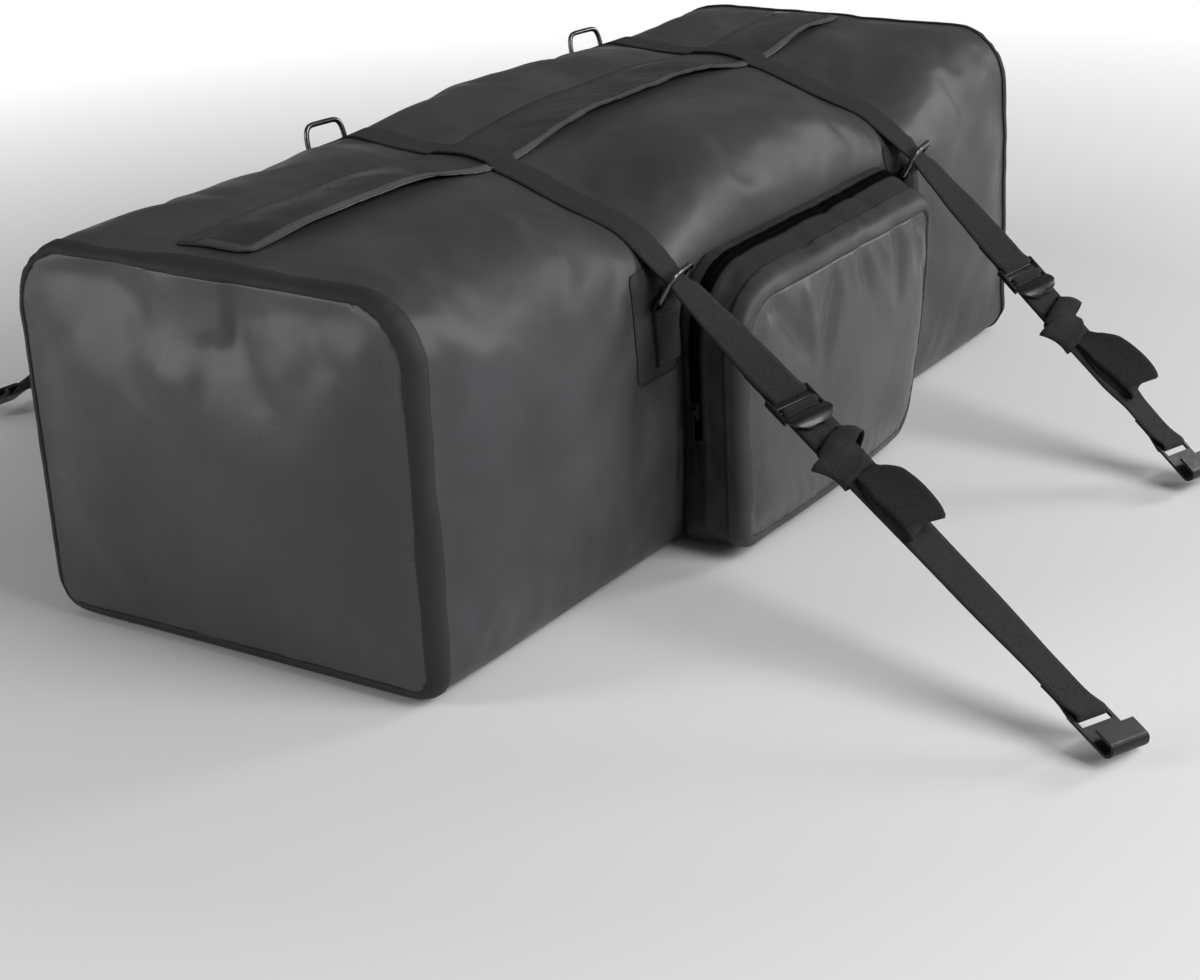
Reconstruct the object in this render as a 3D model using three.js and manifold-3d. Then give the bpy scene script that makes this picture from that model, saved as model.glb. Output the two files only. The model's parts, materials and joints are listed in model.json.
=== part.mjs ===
// Roof cargo bag, packed full and strapped down. Millimetres, +Z up.
// X runs along the bag, the pocket is on the -Y side, and the origin is the centre of the bag's base.
import * as THREE from 'three';
import { mergeVertices } from 'three/addons/utils/BufferGeometryUtils.js';
import Module from 'manifold-3d';

const wasm = await Module();
wasm.setup();

// Fits between pieces
const fitGap = 0.3;

// Bag
const bagLength = 1120;
const bagWidth = 444;
const bagHeight = 367;
const topCrown = 5;
const topCornerRadius = 60;
const bottomCornerRadius = 28;
const sideBulge = 5;
const edgeRadius = 8;
const endDome = 6;
const endRise = 4;
const endRiseLength = 80;
const stationPitch = 62;

// End panels and the tapes over their seams
const panelThickness = 1;
const tapeThickness = 1.4;
const tapeOnEnd = 18;
const tapeOnTube = 22;

// Webbing, and how it lies over and presses into the bag
const webWidth = 38;
const webThickness = 1.6;
const webFold = 38;
const nearStrapStation = -151;
const farStrapStation = 330;
const strapSkew = 0.2;
const strapPress = 12;
const frontPull = 32;
const pressReach = 150;
const pressFloor = 170;
const backEase = 80;

// Flap over the main zip
const flapThickness = 1.4;
const flapNearInset = 38;
const flapFarInset = 40;
const flapNearEnd = flapNearInset - bagLength / 2;
const flapFarEnd = bagLength / 2 - flapFarInset;
const flapFrontEdge = -26;
const flapRearEdge = 60;
const flapRise = 3.4;

// Main zip
const zipTapeWidth = 30;
const zipTapeThickness = 1;
const zipCoilWidth = 13;
const zipCoilHeight = 2;
const zipCentre = 14;
const zipEndMargin = 12;
const mainSliderFromFlapEnd = 82;
const mainSliderStation = flapNearEnd + mainSliderFromFlapEnd;
const mainSliderLength = 15;
const mainSliderWidth = 11;
const mainSliderHeight = 3;
const mainPullLength = 26;
const mainPullWidth = 6;
const pullThickness = 1;
const mainPostRadius = 1;
const mainPullOverhang = 3;

// Patches and webbing tabs that hold the D-rings
const patchReach = { near: { low: 50, high: 20.5 }, far: { low: 34, high: 34 } };
const patchThickness = 1.2;
const frontPatchDrop = 179;
const backPatchDrop = 135;
const frontPatchBottom = bagHeight - frontPatchDrop;
const backPatchBottom = bagHeight - backPatchDrop;
const patchMargin = 12;

// D-rings
const wireRadius = 2.75;
const ringInnerWidth = 44;
const ringDepth = 32;
const ringCornerRadius = 5;
const ringSquareness = 0.32;
const ringYaw = 10;
const frontRingDrop = 87;
const backRingDrop = 32;
const frontRing = { out: 22.5, height: bagHeight - frontRingDrop, tilt: 60, strapSeat: 18 };
const backRing = { out: 13, height: bagHeight - backRingDrop, tilt: 78, strapSeat: 7.5 };

// Strap ends: run is along X and reach is outward from the bag's side
const strapEnds = {
  near_front: { run: -171.5, reach: 545 },
  far_front: { run: -87, reach: 392 },
  near_back: { run: -96, reach: 478 },
  far_back: { run: -96, reach: 478 },
};

// Ladder-lock buckles
const buckleDistance = 178;
const buckleBarRadius = 2.1;
const buckleTopBar = 16;
const buckleGripRise = 1.5;
const buckleRailWidth = 3.4;
const buckleRailHeight = 6;
const buckleTongueStart = 11;
const buckleTongueEnd = 27;
const buckleTongueThickness = 2.4;

// Slip knot in the spare webbing
const tailLength = 46;
const knotDistance = 66;
const knotLength = 28;
const knotWall = 2.4;
const knotSlant = 18;
const loopLength = 92;
const loopHeight = 13;
const loopSwing = 14;
const loopClearance = 1;

// Door clips at the strap ends
const clipSpan = 64;
const clipWidth = 48;
const clipLength = 46;
const clipThickness = 2.4;
const clipBar = 5;
const clipSlot = 9;
const clipMouth = 9;
const clipLip = 16;

// Pocket
const pocketDepth = 74;
const pocketBase = { left: -172, right: 246, bottom: 6, top: 285 };
const pocketFace = { left: -180, right: 214, bottom: 12, top: 262 };
const pocketLowerRightCut = 26;
const pocketCornerRadii = { topLeft: 66, topRight: 26, bottomRight: 40, bottomLeft: 22 };
const pocketSink = 10;
const pocketEdgeRadius = 7;
const pocketSag = 14;
const bindingWidth = 12;
const bindingThickness = 1.2;
const facePanelThickness = 1;
const facePanelSwell = 3;

// Pocket zip
const pocketZipFromWall = 24;
const pocketZipWidth = 12;
const pocketZipHeight = 1.6;
const pocketZipLow = 118;
const pocketSliderHeight = 148;
const pocketSliderLength = 15;
const pocketSliderWidth = 10;
const pocketSliderThickness = 5;
const pocketPullPin = 1.4;
const pocketPullEyeWall = 1.3;
const pocketEarWidth = 1.6;
const pocketPullLength = 62;
const pocketPullWidth = 8;
const pocketPullThickness = 3;

const halfLength = bagLength / 2;
const halfWidth = bagWidth / 2;
const straps = { near: nearStrapStation, far: farStrapStation };
const sides = { front: -1, back: 1 };
const vec = (x, y, z) => new THREE.Vector3(x, y, z);
const { lerp, clamp, degToRad } = THREE.MathUtils;
const smooth = (t) => THREE.MathUtils.smoothstep(t, 0, 1);

// Mesh building

class Facets {
  constructor() {
    this.positions = [];
  }

  triangle(a, b, c) {
    const area = b.clone().sub(a).cross(c.clone().sub(a)).length();
    if (area < 1e-7) return;
    for (const p of [a, b, c]) this.positions.push(p.x, p.y, p.z);
  }

  quad(a, b, c, d) {
    this.triangle(a, b, c);
    this.triangle(a, c, d);
  }

  geometry() {
    const raw = new THREE.BufferGeometry();
    raw.setAttribute('position', new THREE.Float32BufferAttribute(this.positions, 3));
    return facingOut(mergeVertices(raw, 1e-3));
  }
}

function signedVolume(geometry) {
  const position = geometry.getAttribute('position');
  const index = geometry.getIndex();
  const [a, b, c] = [vec(), vec(), vec()];
  let total = 0;
  for (let k = 0; k < index.count; k += 3) {
    a.fromBufferAttribute(position, index.getX(k));
    b.fromBufferAttribute(position, index.getX(k + 1));
    c.fromBufferAttribute(position, index.getX(k + 2));
    total += a.dot(b.cross(c)) / 6;
  }
  return total;
}

function facingOut(geometry) {
  if (signedVolume(geometry) > 0) return geometry;
  const index = geometry.getIndex();
  for (let k = 0; k < index.count; k += 3) {
    const second = index.getX(k + 1);
    index.setX(k + 1, index.getX(k + 2));
    index.setX(k + 2, second);
  }
  return geometry;
}

function welded(geometry) {
  const bare = geometry.index ? geometry.toNonIndexed() : geometry.clone();
  bare.deleteAttribute('normal');
  bare.deleteAttribute('uv');
  return facingOut(mergeVertices(bare, 1e-3));
}

function solidOf(geometry) {
  const merged = welded(geometry);
  const vertProperties = Float32Array.from(merged.getAttribute('position').array);
  const triVerts = Uint32Array.from(merged.getIndex().array);
  return new wasm.Manifold(new wasm.Mesh({ numProp: 3, vertProperties, triVerts }));
}

function geometryOf(solid) {
  const mesh = solid.getMesh();
  const geometry = new THREE.BufferGeometry();
  geometry.setAttribute('position', new THREE.Float32BufferAttribute(mesh.vertProperties, 3));
  geometry.setIndex(new THREE.Uint32BufferAttribute(mesh.triVerts, 1));
  return geometry;
}

function joined(...geometries) {
  return geometryOf(geometries.map(solidOf).reduce((whole, piece) => whole.add(piece)));
}

function cutBy(geometry, cutter) {
  return geometryOf(solidOf(geometry).subtract(solidOf(cutter)));
}

// A skin is a grid of points: columns run along one way and rows go round the other.
class Skin {
  constructor(columns) {
    this.columns = columns;
    this.rowCount = columns[0].length;
    this.normals = columns.map((column, i) => column.map((point, j) => this.normalAt(i, j)));
  }

  at(i, j) {
    const column = this.columns[clamp(i, 0, this.columns.length - 1)];
    return column[(j + this.rowCount) % this.rowCount];
  }

  normalAt(i, j) {
    const along = this.at(i + 1, j).clone().sub(this.at(i - 1, j));
    const round = this.at(i, j + 1).clone().sub(this.at(i, j - 1));
    return round.length() > 1e-6 ? along.cross(round).normalize() : this.poleNormal(i);
  }

  // Where a column is drawn in to one point, the normal is the mean of the facets that meet there.
  poleNormal(i) {
    const inner = i === 0 ? 1 : i - 1;
    const turn = i === 0 ? 1 : -1;
    const sum = vec(0, 0, 0);
    for (let j = 0; j < this.rowCount; j += 1) {
      const first = this.at(inner, j).clone().sub(this.at(i, j));
      const second = this.at(inner, j + 1).clone().sub(this.at(i, j));
      sum.addScaledVector(first.cross(second), turn);
    }
    return sum.normalize();
  }

  lifted(i, j, height) {
    const normal = this.normals[clamp(i, 0, this.columns.length - 1)][(j + this.rowCount) % this.rowCount];
    return this.at(i, j).clone().addScaledVector(normal, height);
  }

  solid(height = 0) {
    const facets = new Facets();
    for (let i = 0; i < this.columns.length - 1; i += 1) {
      for (let j = 0; j < this.rowCount; j += 1) {
        facets.quad(this.lifted(i, j, height), this.lifted(i + 1, j, height),
          this.lifted(i + 1, j + 1, height), this.lifted(i, j + 1, height));
      }
    }
    return facets.geometry();
  }

  // A layer over columns i0 to i1 and rows j0 to j1, or all the way round when j1 - j0 is the row count.
  layer(i0, i1, j0, j1, under, over) {
    const height = (rule, i, j) => (typeof rule === 'function' ? rule(i, j) : rule);
    const low = (i, j) => this.lifted(i, j, height(under, i, j));
    const high = (i, j) => this.lifted(i, j, height(over, i, j));
    const facets = new Facets();
    for (let i = i0; i < i1; i += 1) {
      for (let j = j0; j < j1; j += 1) {
        facets.quad(high(i, j), high(i + 1, j), high(i + 1, j + 1), high(i, j + 1));
        facets.quad(low(i, j), low(i, j + 1), low(i + 1, j + 1), low(i + 1, j));
      }
    }
    for (let j = j0; j < j1; j += 1) {
      if (i0 > 0) facets.quad(low(i0, j), high(i0, j), high(i0, j + 1), low(i0, j + 1));
      if (i1 < this.columns.length - 1) {
        facets.quad(high(i1, j), low(i1, j), low(i1, j + 1), high(i1, j + 1));
      }
    }
    if (j1 - j0 < this.rowCount) {
      for (let i = i0; i < i1; i += 1) {
        facets.quad(high(i, j0), low(i, j0), low(i + 1, j0), high(i + 1, j0));
        facets.quad(low(i, j1), high(i, j1), high(i + 1, j1), low(i + 1, j1));
      }
    }
    return facets.geometry();
  }
}

// Marks are places that must be lines of a grid; plain places too close to one are left out.
function gridLines(low, high, pitch, marks) {
  const kept = [...new Set(marks.filter((mark) => mark > low && mark < high))];
  const count = Math.max(1, Math.round((high - low) / pitch));
  const plain = Array.from({ length: count + 1 }, (_, k) => lerp(low, high, k / count));
  const clear = (place) => kept.every((mark) => Math.abs(mark - place) > pitch * 0.4);
  const inner = plain.slice(1, -1).filter(clear);
  return [low, ...inner, ...kept, high].sort((a, b) => a - b);
}

// Webbing and other ribbons: each row holds the four corners of the ribbon's section.
function sectionRow(centre, side, normal, halfWide, halfThick) {
  const corner = (s, n) => centre.clone().addScaledVector(side, s * halfWide).addScaledVector(normal, n * halfThick);
  return [corner(-1, -1), corner(1, -1), corner(1, 1), corner(-1, 1)];
}

function ribbonRows(centres, side, halfWide = webWidth / 2, halfThick = webThickness / 2) {
  const sideAt = (k) => (typeof side === 'function' ? side(k) : side);
  return centres.map((centre, k) => {
    const before = centres[Math.max(0, k - 1)];
    const after = centres[Math.min(centres.length - 1, k + 1)];
    const along = after.clone().sub(before).normalize();
    const normal = sideAt(k).clone().cross(along).normalize();
    return sectionRow(centre, sideAt(k), normal, halfWide, halfThick);
  });
}

function ribbonSolid(rows) {
  const facets = new Facets();
  for (let k = 0; k < rows.length - 1; k += 1) {
    for (let c = 0; c < 4; c += 1) {
      const d = (c + 1) % 4;
      facets.quad(rows[k][c], rows[k][d], rows[k + 1][d], rows[k + 1][c]);
    }
  }
  const [first, last] = [rows[0], rows[rows.length - 1]];
  facets.quad(first[3], first[2], first[1], first[0]);
  facets.quad(last[0], last[1], last[2], last[3]);
  return facets.geometry();
}

// A closed loop of round wire that lies in one plane.
function closedWire(points, planeNormal, radius, sideCount = 6) {
  const rings = points.map((point, k) => {
    const before = points[(k + points.length - 1) % points.length];
    const after = points[(k + 1) % points.length];
    const into = point.clone().sub(before).normalize();
    const outOf = after.clone().sub(point).normalize();
    const along = into.clone().add(outOf).normalize();
    const mitre = 1 / Math.max(0.5, along.dot(outOf));
    const sideways = planeNormal.clone().cross(along);
    return Array.from({ length: sideCount }, (_, s) => {
      const angle = (2 * Math.PI * (s + 0.5)) / sideCount;
      return point.clone()
        .addScaledVector(sideways, radius * mitre * Math.cos(angle))
        .addScaledVector(planeNormal, radius * Math.sin(angle));
    });
  });
  const facets = new Facets();
  rings.forEach((ring, k) => {
    const next = rings[(k + 1) % rings.length];
    for (let s = 0; s < sideCount; s += 1) {
      const t = (s + 1) % sideCount;
      facets.quad(ring[s], next[s], next[t], ring[t]);
    }
  });
  return facets.geometry();
}

// The bag's surface

const sideTop = bagHeight - topCrown - topCornerRadius;
const innerHalf = halfWidth - topCornerRadius;
const lowerHalf = halfWidth - bottomCornerRadius;

// Share of the strap's pull at a station, 1 under a strap and 0 beyond its reach.
function strapPull(u) {
  const share = (station) => {
    const away = Math.abs(u - station) / pressReach;
    return away >= 1 ? 0 : Math.cos((Math.PI / 2) * away) ** 2;
  };
  return Math.min(1, Object.values(straps).reduce((sum, station) => sum + share(station), 0));
}

// How far a strap presses the top down at a distance y from the middle line.
function pressDepth(y) {
  const front = frontPull * smooth((10 - y) / (halfWidth - 12));
  const back = smooth((y - (halfWidth - backEase - topCrown)) / backEase);
  return front + strapPress * (1 - back);
}

function skewShare(u) {
  const full = Math.max(...Object.values(straps).map(Math.abs)) + webWidth;
  return 1 - smooth((Math.abs(u) - full) / (halfLength - full));
}

// Rows go round the section from the middle of the base, up the front, over and down the back.
const cornerSteps = { bottom: 3, top: 6 };

function sectionRows() {
  const rows = [];
  const mark = {};
  const add = (edge, t, name) => {
    if (name) mark[name] = rows.length;
    rows.push({ edge, t });
  };
  const corner = (edge, steps, names = {}) => {
    for (let k = 1; k < steps; k += 1) add(edge, k / steps, names[k]);
  };
  const share = (z) => (z - bottomCornerRadius) / (sideTop - bottomCornerRadius);
  const topSpan = (y) => (y + innerHalf) / (2 * innerHalf);
  const sidePitch = 0.21;
  const frontMarks = { frontPatchLow: share(frontPatchBottom), frontTabLow: share(frontPatchBottom + patchMargin) };
  const backMarks = { backPatchLow: share(backPatchBottom), backTabLow: share(backPatchBottom + patchMargin) };
  const zipHalf = zipTapeWidth / 2;
  const topMarks = {
    flapFront: topSpan(flapFrontEdge),
    flapFrontLand: topSpan(flapFrontEdge - 4 * flapRise),
    zipFront: topSpan(zipCentre - zipHalf),
    coilFront: topSpan(zipCentre - zipCoilWidth / 2),
    coilBack: topSpan(zipCentre + zipCoilWidth / 2),
    zipBack: topSpan(zipCentre + zipHalf),
    flapRear: topSpan(flapRearEdge),
    flapRearLand: topSpan(flapRearEdge + 2 * flapRise),
  };
  const nameOf = (marks, t) => Object.keys(marks).find((key) => marks[key] === t);
  const edgeLines = (edge, marks, reversed, pitch) => {
    const lines = gridLines(0, 1, pitch, Object.values(marks));
    const ordered = reversed ? lines.reverse() : lines;
    for (const t of ordered) add(edge, t, nameOf(marks, t) ?? (t === 1 && !reversed ? `${edge}High` : undefined));
  };
  add('base', 0);
  add('base', -0.55);
  add('base', -1);
  corner('bottomFront', cornerSteps.bottom);
  edgeLines('front', frontMarks, false, sidePitch);
  corner('topFront', cornerSteps.top, { 3: 'frontPatchHigh' });
  edgeLines('top', topMarks, false, 0.14);
  corner('topBack', cornerSteps.top, { 3: 'backShoulder' });
  mark.backPatchHigh = rows.length;
  edgeLines('back', backMarks, true, sidePitch);
  corner('bottomBack', cornerSteps.bottom);
  add('base', 1);
  add('base', 0.55);
  return { rows, mark };
}

const { rows: sectionList, mark: rowMark } = sectionRows();

// The section before a strap presses on it, as y and z.
function restingSection(u, { edge, t }) {
  const crownShare = lerp(0.3, 1, smooth((halfLength - Math.abs(u)) / endRiseLength));
  const bulge = sideBulge * smooth((halfLength - Math.abs(u)) / endRiseLength);
  const sideZ = lerp(bottomCornerRadius, sideTop, t);
  const sideY = halfWidth + bulge * Math.sin(Math.PI * t);
  const angle = (Math.PI / 2) * t;
  const top = innerHalf * (2 * t - 1);
  switch (edge) {
    case 'base': return [lowerHalf * t, 0];
    case 'bottomFront':
      return [-lowerHalf - bottomCornerRadius * Math.sin(angle), bottomCornerRadius * (1 - Math.cos(angle))];
    case 'bottomBack':
      return [lowerHalf + bottomCornerRadius * Math.cos(angle), bottomCornerRadius * (1 - Math.sin(angle))];
    case 'front': return [-sideY, sideZ];
    case 'back': return [sideY, sideZ];
    case 'topFront':
      return [-innerHalf - topCornerRadius * Math.cos(angle), sideTop + topCornerRadius * Math.sin(angle)];
    case 'topBack':
      return [innerHalf + topCornerRadius * Math.sin(angle), sideTop + topCornerRadius * Math.cos(angle)];
    default:
      return [top, bagHeight - topCrown + topCrown * crownShare * Math.cos((Math.PI / 2) * (top / innerHalf)) ** 2];
  }
}

function bagPoint(u, row) {
  const [y, restZ] = restingSection(u, row);
  const weight = smooth((restZ - pressFloor) / (bagHeight - topCrown - pressFloor));
  const rise = endRise * smooth((Math.abs(u) - (halfLength - endRiseLength)) / (endRiseLength - edgeRadius));
  const lowShare = 1 - smooth(restZ / (2 * bottomCornerRadius));
  const z = restZ - strapPull(u) * pressDepth(y) * weight + rise * lowShare;
  return vec(u + strapSkew * y * skewShare(u), y, z);
}

// Columns: the end caps are the end section drawn in towards its middle, then the tube's stations.
const capMiddle = bagHeight / 2;
const fillet = [45, 90];

function capColumn(end, inset, outward) {
  const station = end * (halfLength - edgeRadius);
  return sectionList.map((row) => {
    const edge = bagPoint(station, row);
    const share = 1 - inset / (bagHeight / 2);
    const swell = endDome * (1 - share ** 2) * smooth((inset - edgeRadius) / tapeOnEnd);
    return vec(station + end * (outward + swell), edge.y * (1 - inset / halfWidth),
      capMiddle + (edge.z - capMiddle) * share);
  });
}

function capColumns() {
  const columns = [];
  const names = {};
  const add = (name, inset, outward) => {
    names[name] = columns.length;
    columns.push({ inset, outward });
  };
  for (const angle of fillet) {
    const turn = degToRad(angle);
    add(`fillet${angle}`, edgeRadius * (1 - Math.cos(turn)), edgeRadius * Math.sin(turn));
  }
  add('tapeEdge', tapeOnEnd, edgeRadius);
  add('panelEdge', tapeOnEnd + 2 * fitGap, edgeRadius);
  add('panelOuter', bagHeight * 0.2, edgeRadius);
  add('panelInner', bagHeight * 0.36, edgeRadius);
  return { columns, names };
}

const cap = capColumns();
const patchSpan = (name) => [straps[name] - patchReach[name].low, straps[name] + patchReach[name].high];
const webSpan = (station) => [station - webWidth / 2, station + webWidth / 2];
const tubeEnd = halfLength - edgeRadius;
const tubeMarks = {
  nearTape: -halfLength + tapeOnTube,
  farTape: halfLength - tapeOnTube,
  flapNear: flapNearEnd,
  flapFar: flapFarEnd,
  zipNear: flapNearEnd + zipEndMargin,
  zipFar: flapFarEnd - zipEndMargin,
};
for (const [name, station] of Object.entries(straps)) {
  [tubeMarks[`${name}PatchLow`], tubeMarks[`${name}PatchHigh`]] = patchSpan(name);
  [tubeMarks[`${name}WebLow`], tubeMarks[`${name}WebHigh`]] = webSpan(station);
}
const tubeStations = gridLines(-tubeEnd, tubeEnd, stationPitch, Object.values(tubeMarks));
const poleColumns = 1 + cap.columns.length;
const columnMark = Object.fromEntries(Object.entries(tubeMarks)
  .map(([name, station]) => [name, poleColumns + tubeStations.indexOf(station)]));
const lastColumn = 2 * poleColumns + tubeStations.length - 1;
const capIndex = (end, name) => (end < 0 ? poleColumns - 1 - cap.names[name] : lastColumn - poleColumns + 1 + cap.names[name]);

const pole = (end) => sectionList.map(() => vec(end * (halfLength + endDome), 0, capMiddle));
const capSide = (end) => cap.columns.map(({ inset, outward }) => capColumn(end, inset, outward));
const bagSkin = new Skin([
  pole(-1),
  ...capSide(-1).reverse(),
  ...tubeStations.map((u) => sectionList.map((row) => bagPoint(u, row))),
  ...capSide(1),
  pole(1),
]);

const bagClearance = bagSkin.solid(fitGap);

// Zip, flap and the layers that lie over each other on the top

const inRows = (j, low, high) => j >= rowMark[low] && j <= rowMark[high];
const zipTop = fitGap + zipTapeThickness;
const coilTop = zipTop + zipCoilHeight;
const sliderTop = coilTop + fitGap + mainSliderHeight;
const sliderTunnel = sliderTop + 2 * fitGap + pullThickness + fitGap - (coilTop + fitGap);

function zipOver(i, j) {
  return inRows(j, 'coilFront', 'coilBack') ? coilTop : zipTop;
}

// The flap stands off the coil where the slider runs, and lies tight on it under a strap.
function flapUnder(i, j) {
  const station = bagSkin.at(i, rowMark.coilFront).x;
  const slack = 1 - strapPull(station);
  if (j === rowMark.flapRear) return fitGap;
  if (j === rowMark.flapFront) return fitGap + flapRise * slack;
  if (inRows(j, 'coilFront', 'coilBack')) return coilTop + fitGap + sliderTunnel * smooth(2 * slack);
  return coilTop + fitGap + sliderTunnel * 0.55 * smooth(2 * slack);
}

const flapOver = (i, j) => flapUnder(i, j) + flapThickness;

function webUnder(i, j) {
  if (inRows(j, 'flapFront', 'flapRear')) return flapOver(i, j) + fitGap;
  const overPatch = j <= rowMark.frontPatchHigh || j >= rowMark.backShoulder;
  return overPatch ? fitGap + patchThickness + fitGap : fitGap;
}

// Strap lines: one for each strap at each side of the bag

class StrapLine {
  constructor(strapName, sideName) {
    this.name = `${strapName}_${sideName}`;
    this.station = straps[strapName];
    this.sign = sides[sideName];
    this.ring = sideName === 'front' ? frontRing : backRing;
    const y = this.sign * (halfWidth + this.ring.out);
    this.seat = vec(this.station + strapSkew * y, y, this.ring.height);
    const { run, reach } = strapEnds[this.name];
    this.floor = vec(this.seat.x + run, this.sign * (halfWidth + reach), 0);
    this.down = this.floor.clone().sub(this.seat).normalize();
    const plainSide = vec(-this.sign, 0, 0);
    this.side = plainSide.addScaledVector(this.down, -plainSide.dot(this.down)).normalize();
    this.normal = this.down.clone().cross(this.side).normalize();
    this.up = this.down.clone().negate();
    this.buckle = this.seat.clone().addScaledVector(this.down, buckleDistance);
    this.clip = this.floor.clone().addScaledVector(this.down, -clipSpan);
  }

  // A point given along the strap (up positive), off its face, and across it, from the buckle.
  point(along, off, across = 0) {
    return this.buckle.clone().addScaledVector(this.up, along)
      .addScaledVector(this.normal, off).addScaledVector(this.side, across);
  }

  placed(geometry, origin = this.buckle) {
    const basis = new THREE.Matrix4().makeBasis(this.side, this.up, this.normal).setPosition(origin);
    return geometry.clone().applyMatrix4(basis);
  }
}

const lines = {};
for (const strapName of Object.keys(straps)) {
  for (const sideName of Object.keys(sides)) {
    const line = new StrapLine(strapName, sideName);
    lines[line.name] = line;
  }
}

function arc(alongCentre, offCentre, radius, fromDegrees, toDegrees, steps = 4) {
  return Array.from({ length: steps + 1 }, (_, k) => {
    const angle = degToRad(lerp(fromDegrees, toDegrees, k / steps));
    return [alongCentre + radius * Math.cos(angle), offCentre + radius * Math.sin(angle)];
  });
}

// D-rings, each in a plane through its bar, leaning out and turned a little to face its strap

function ringFrame(line) {
  const turn = degToRad(-line.sign * ringYaw) * -1;
  const bar = vec(Math.cos(turn), Math.sin(turn) * -1, 0);
  const outward = vec(-bar.y, bar.x, 0).multiplyScalar(line.sign);
  const tilt = degToRad(line.ring.tilt);
  const reach = outward.multiplyScalar(Math.cos(tilt)).add(vec(0, 0, Math.sin(tilt)));
  const centre = line.seat.clone().addScaledVector(reach, -line.ring.strapSeat);
  return { bar, reach, centre, face: bar.clone().cross(reach).normalize() };
}

function ringGeometry(line) {
  const { bar, reach, centre, face } = ringFrame(line);
  const half = ringInnerWidth / 2 + wireRadius;
  const shoulder = ringCornerRadius;
  const outline = [];
  const push = (x, y) => outline.push(centre.clone().addScaledVector(bar, x).addScaledVector(reach, y));
  for (const x of [-0.6, 0, 0.6]) push(x * half, 0);
  for (const angle of [-90, -60, -30, 0]) {
    const turn = degToRad(angle);
    push(half - shoulder + shoulder * Math.cos(turn), shoulder + shoulder * Math.sin(turn));
  }
  const bow = ringDepth - shoulder;
  for (let k = 1; k < 9; k += 1) {
    const turn = (Math.PI * k) / 9;
    const squarer = Math.sign(Math.cos(turn)) * Math.abs(Math.cos(turn)) ** ringSquareness;
    push(half * squarer, shoulder + bow * Math.sin(turn) ** (2 * ringSquareness));
  }
  for (const angle of [180, 210, 240, 270]) {
    const turn = degToRad(angle);
    push(-half + shoulder + shoulder * Math.cos(turn), shoulder + shoulder * Math.sin(turn));
  }
  return closedWire(outline, face, wireRadius);
}

// Webbing tab: sewn flat on the patch, folded round the ring's bar and back on itself

function tabGeometry(line) {
  const { bar, centre } = ringFrame(line);
  const front = line.sign < 0;
  const lowRow = rowMark[front ? 'frontTabLow' : 'backTabLow'];
  const highRow = rowMark[front ? 'frontHigh' : 'backPatchHigh'];
  const strapName = line.name.split('_')[0];
  const columns = [columnMark[`${strapName}WebLow`], columnMark[`${strapName}WebHigh`]];
  const inner = fitGap + patchThickness + fitGap + webThickness / 2;
  const outer = inner + webThickness + fitGap;
  const onWall = (j, height) => bagSkin.lifted(columns[0], j, height).add(bagSkin.lifted(columns[1], j, height)).multiplyScalar(0.5);
  const step = front ? 1 : -1;
  const sewn = [];
  for (let j = lowRow; j !== highRow; j += step) sewn.push(j);
  const root = onWall(sewn[sewn.length - 1], inner);
  const toRoot = root.clone().sub(centre);
  toRoot.addScaledVector(bar, -toRoot.dot(bar)).normalize();
  const wallSide = bar.clone().cross(toRoot).normalize();
  if (wallSide.y * line.sign > 0) wallSide.negate();
  const wrap = wireRadius + fitGap + webThickness / 2;
  const round = Array.from({ length: 9 }, (_, k) => {
    const angle = (Math.PI * k) / 8;
    return centre.clone().addScaledVector(wallSide, wrap * Math.cos(angle))
      .addScaledVector(toRoot, -wrap * Math.sin(angle));
  });
  const up = sewn.map((j) => onWall(j, inner));
  const back = sewn.slice(1).reverse().map((j) => onWall(j, outer));
  const path = [...up, ...round, ...back];
  const flatSide = vec(1, 0, 0);
  const sideAt = (k) => (k >= up.length && k < up.length + round.length ? bar : flatSide);
  return ribbonSolid(ribbonRows(path, sideAt));
}

// Straps over the bag, from buckle to buckle

function buckleFold(line, incoming) {
  const wrap = buckleBarRadius + fitGap + webThickness / 2;
  const lay = (webThickness + fitGap) / 2;
  const clear = buckleTopBar + 3 * wrap;
  const path = [
    [buckleTopBar + webFold, -lay],
    [clear, -lay],
    ...arc(buckleTopBar, 0, wrap, -90, -270),
    [clear, lay],
    [buckleTopBar + webFold, lay],
  ].map(([along, off]) => line.point(along, off));
  return incoming ? path : path.reverse();
}

function bodyRow(strapName, j) {
  const low = columnMark[`${strapName}WebLow`];
  const high = columnMark[`${strapName}WebHigh`];
  const under = (i) => bagSkin.lifted(i, j, webUnder(i, j));
  const over = (i) => bagSkin.lifted(i, j, webUnder(i, j) + webThickness);
  return [under(low), under(high), over(high), over(low)];
}

// The first row on the bag, going towards its top, from which the strap runs clear to the ring.
function leavingRow(strapName, line) {
  const columns = [columnMark[`${strapName}WebLow`], columnMark[`${strapName}WebHigh`]];
  const clearFrom = (j) => columns.every((i) => {
    const toRing = line.seat.clone().sub(bagSkin.at(i, j));
    return toRing.dot(bagSkin.normals[i][j]) > fitGap;
  });
  const topRow = rowMark.coilFront;
  const step = line.sign;
  let j = topRow;
  while (!clearFrom(j) && Math.abs(j - topRow) < sectionList.length / 3) j += step;
  return j;
}

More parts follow.
